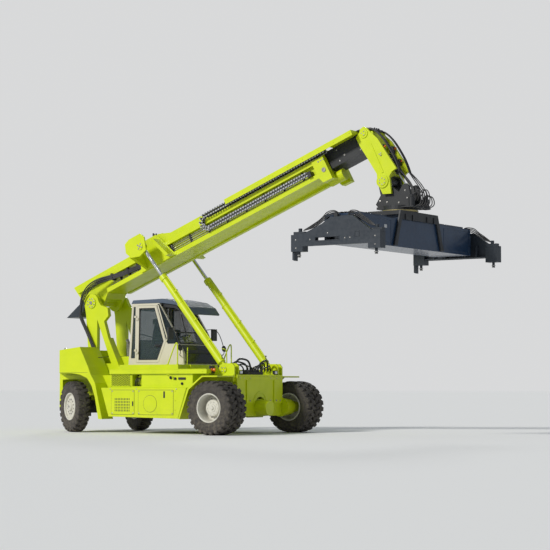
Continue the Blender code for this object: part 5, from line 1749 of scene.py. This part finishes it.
# ---------------------------------------------------------------------------- studio
@dataclass
class Studio:
    """Floor, lights and camera."""

    eye: Point = (26.73, -38.32, 1.213)
    heading: float = 34.334
    pitch: float = 3.578
    lens: float = 117.2
    sensor: float = 36.0
    sky: float = 0.34
    sky_colour: Colour = (0.86, 0.93, 1.0)
    backdrop: Colour = (0.69, 0.695, 0.70)
    floor_grey: float = 0.86
    floor_half: float = 400.0
    key: float = 2.6
    fill_share: float = 0.14
    aim: Point = (0, 0, 3)

    def floor(self) -> None:
        """Lays a wide pale floor."""
        mesh = bpy.data.meshes.new("studio_floor")
        half = self.floor_half
        mesh.from_pydata([(-half, -half, 0), (half, -half, 0), (half, half, 0), (-half, half, 0)],
                         [], [(0, 1, 2, 3)])
        obj = bpy.data.objects.new("studio_floor", mesh)
        bpy.context.scene.collection.objects.link(obj)
        mat = bpy.data.materials.new("studio_floor")
        mat.use_nodes = True
        shader = mat.node_tree.nodes["Principled BSDF"]
        shader.inputs["Base Color"].default_value = (*[self.floor_grey] * 3, 1)
        shader.inputs["Roughness"].default_value = 0.9
        shader.inputs["Specular IOR Level"].default_value = 0.1
        mesh.materials.append(mat)

    def light(self, name: str, place: Point, power: float, colour: Colour = (1, 1, 1)) -> None:
        """Adds a wide soft light that shines from one place towards the machine.

        Args:
            name: The light's name.
            place: Where it shines from.
            power: How strong it is.
            colour: Its colour.
        """
        data = bpy.data.lights.new(name, "SUN")
        data.angle = math.radians(9.0)
        data.energy = power
        data.color = colour
        obj = bpy.data.objects.new(name, data)
        bpy.context.scene.collection.objects.link(obj)
        obj.location = place
        aim = Vector(self.aim) - Vector(place)
        obj.rotation_euler = aim.to_track_quat("-Z", "Y").to_euler()

    def build(self) -> None:
        """Makes the whole studio and sets the camera."""
        self.floor()
        world = bpy.data.worlds.new("studio")
        bpy.context.scene.world = world
        world.use_nodes = True
        nodes, links = world.node_tree.nodes, world.node_tree.links
        seen, lit = nodes["Background"], nodes.new("ShaderNodeBackground")
        seen.inputs["Color"].default_value = (*self.backdrop, 1)
        seen.inputs["Strength"].default_value = 1.0
        lit.inputs["Color"].default_value = (*self.sky_colour, 1)
        lit.inputs["Strength"].default_value = self.sky
        swap = nodes.new("ShaderNodeMixShader")
        links.new(nodes.new("ShaderNodeLightPath").outputs["Is Camera Ray"], swap.inputs["Fac"])
        links.new(lit.outputs["Background"], swap.inputs[1])
        links.new(seen.outputs["Background"], swap.inputs[2])
        links.new(swap.outputs["Shader"], nodes["World Output"].inputs["Surface"])
        self.light("key", (-8, -26, 19), self.key, (1.0, 0.98, 0.93))
        self.light("back_light", (-14, 24, 16), self.key * self.fill_share)
        bpy.context.scene.view_settings.view_transform = "Standard"
        data = bpy.data.cameras.new("view")
        data.lens = self.lens
        data.sensor_width = self.sensor
        data.clip_end = 2000
        obj = bpy.data.objects.new("view", data)
        bpy.context.scene.collection.objects.link(obj)
        h, p = math.radians(self.heading), math.radians(self.pitch)
        look = Vector((-math.sin(h) * math.cos(p), math.cos(h) * math.cos(p), math.sin(p)))
        obj.location = PLACES.at(*self.eye)
        obj.rotation_euler = look.to_track_quat("-Z", "Y").to_euler()
        bpy.context.scene.camera = obj


def main() -> None:
    """Builds the machine's looks in order and reports each part."""
    logging.basicConfig(level=logging.INFO, format="%(name)s: %(message)s")
    flanks = [SidePanels(side, sy) for side, sy in SIDES]
    for part in (FrameNodes(), Wheels(), *flanks, FrontAndBack(), Cab(), BoomTrim(),
                 HoseChain(), HeadTrim(), LiftCylinders(), SpreaderTrim(), Studio()):
        before = len(bpy.data.objects)
        part.build()
        LOG.info("%s: %d pieces", type(part).__name__, len(bpy.data.objects) - before)


if __name__ == "__main__":
    main()
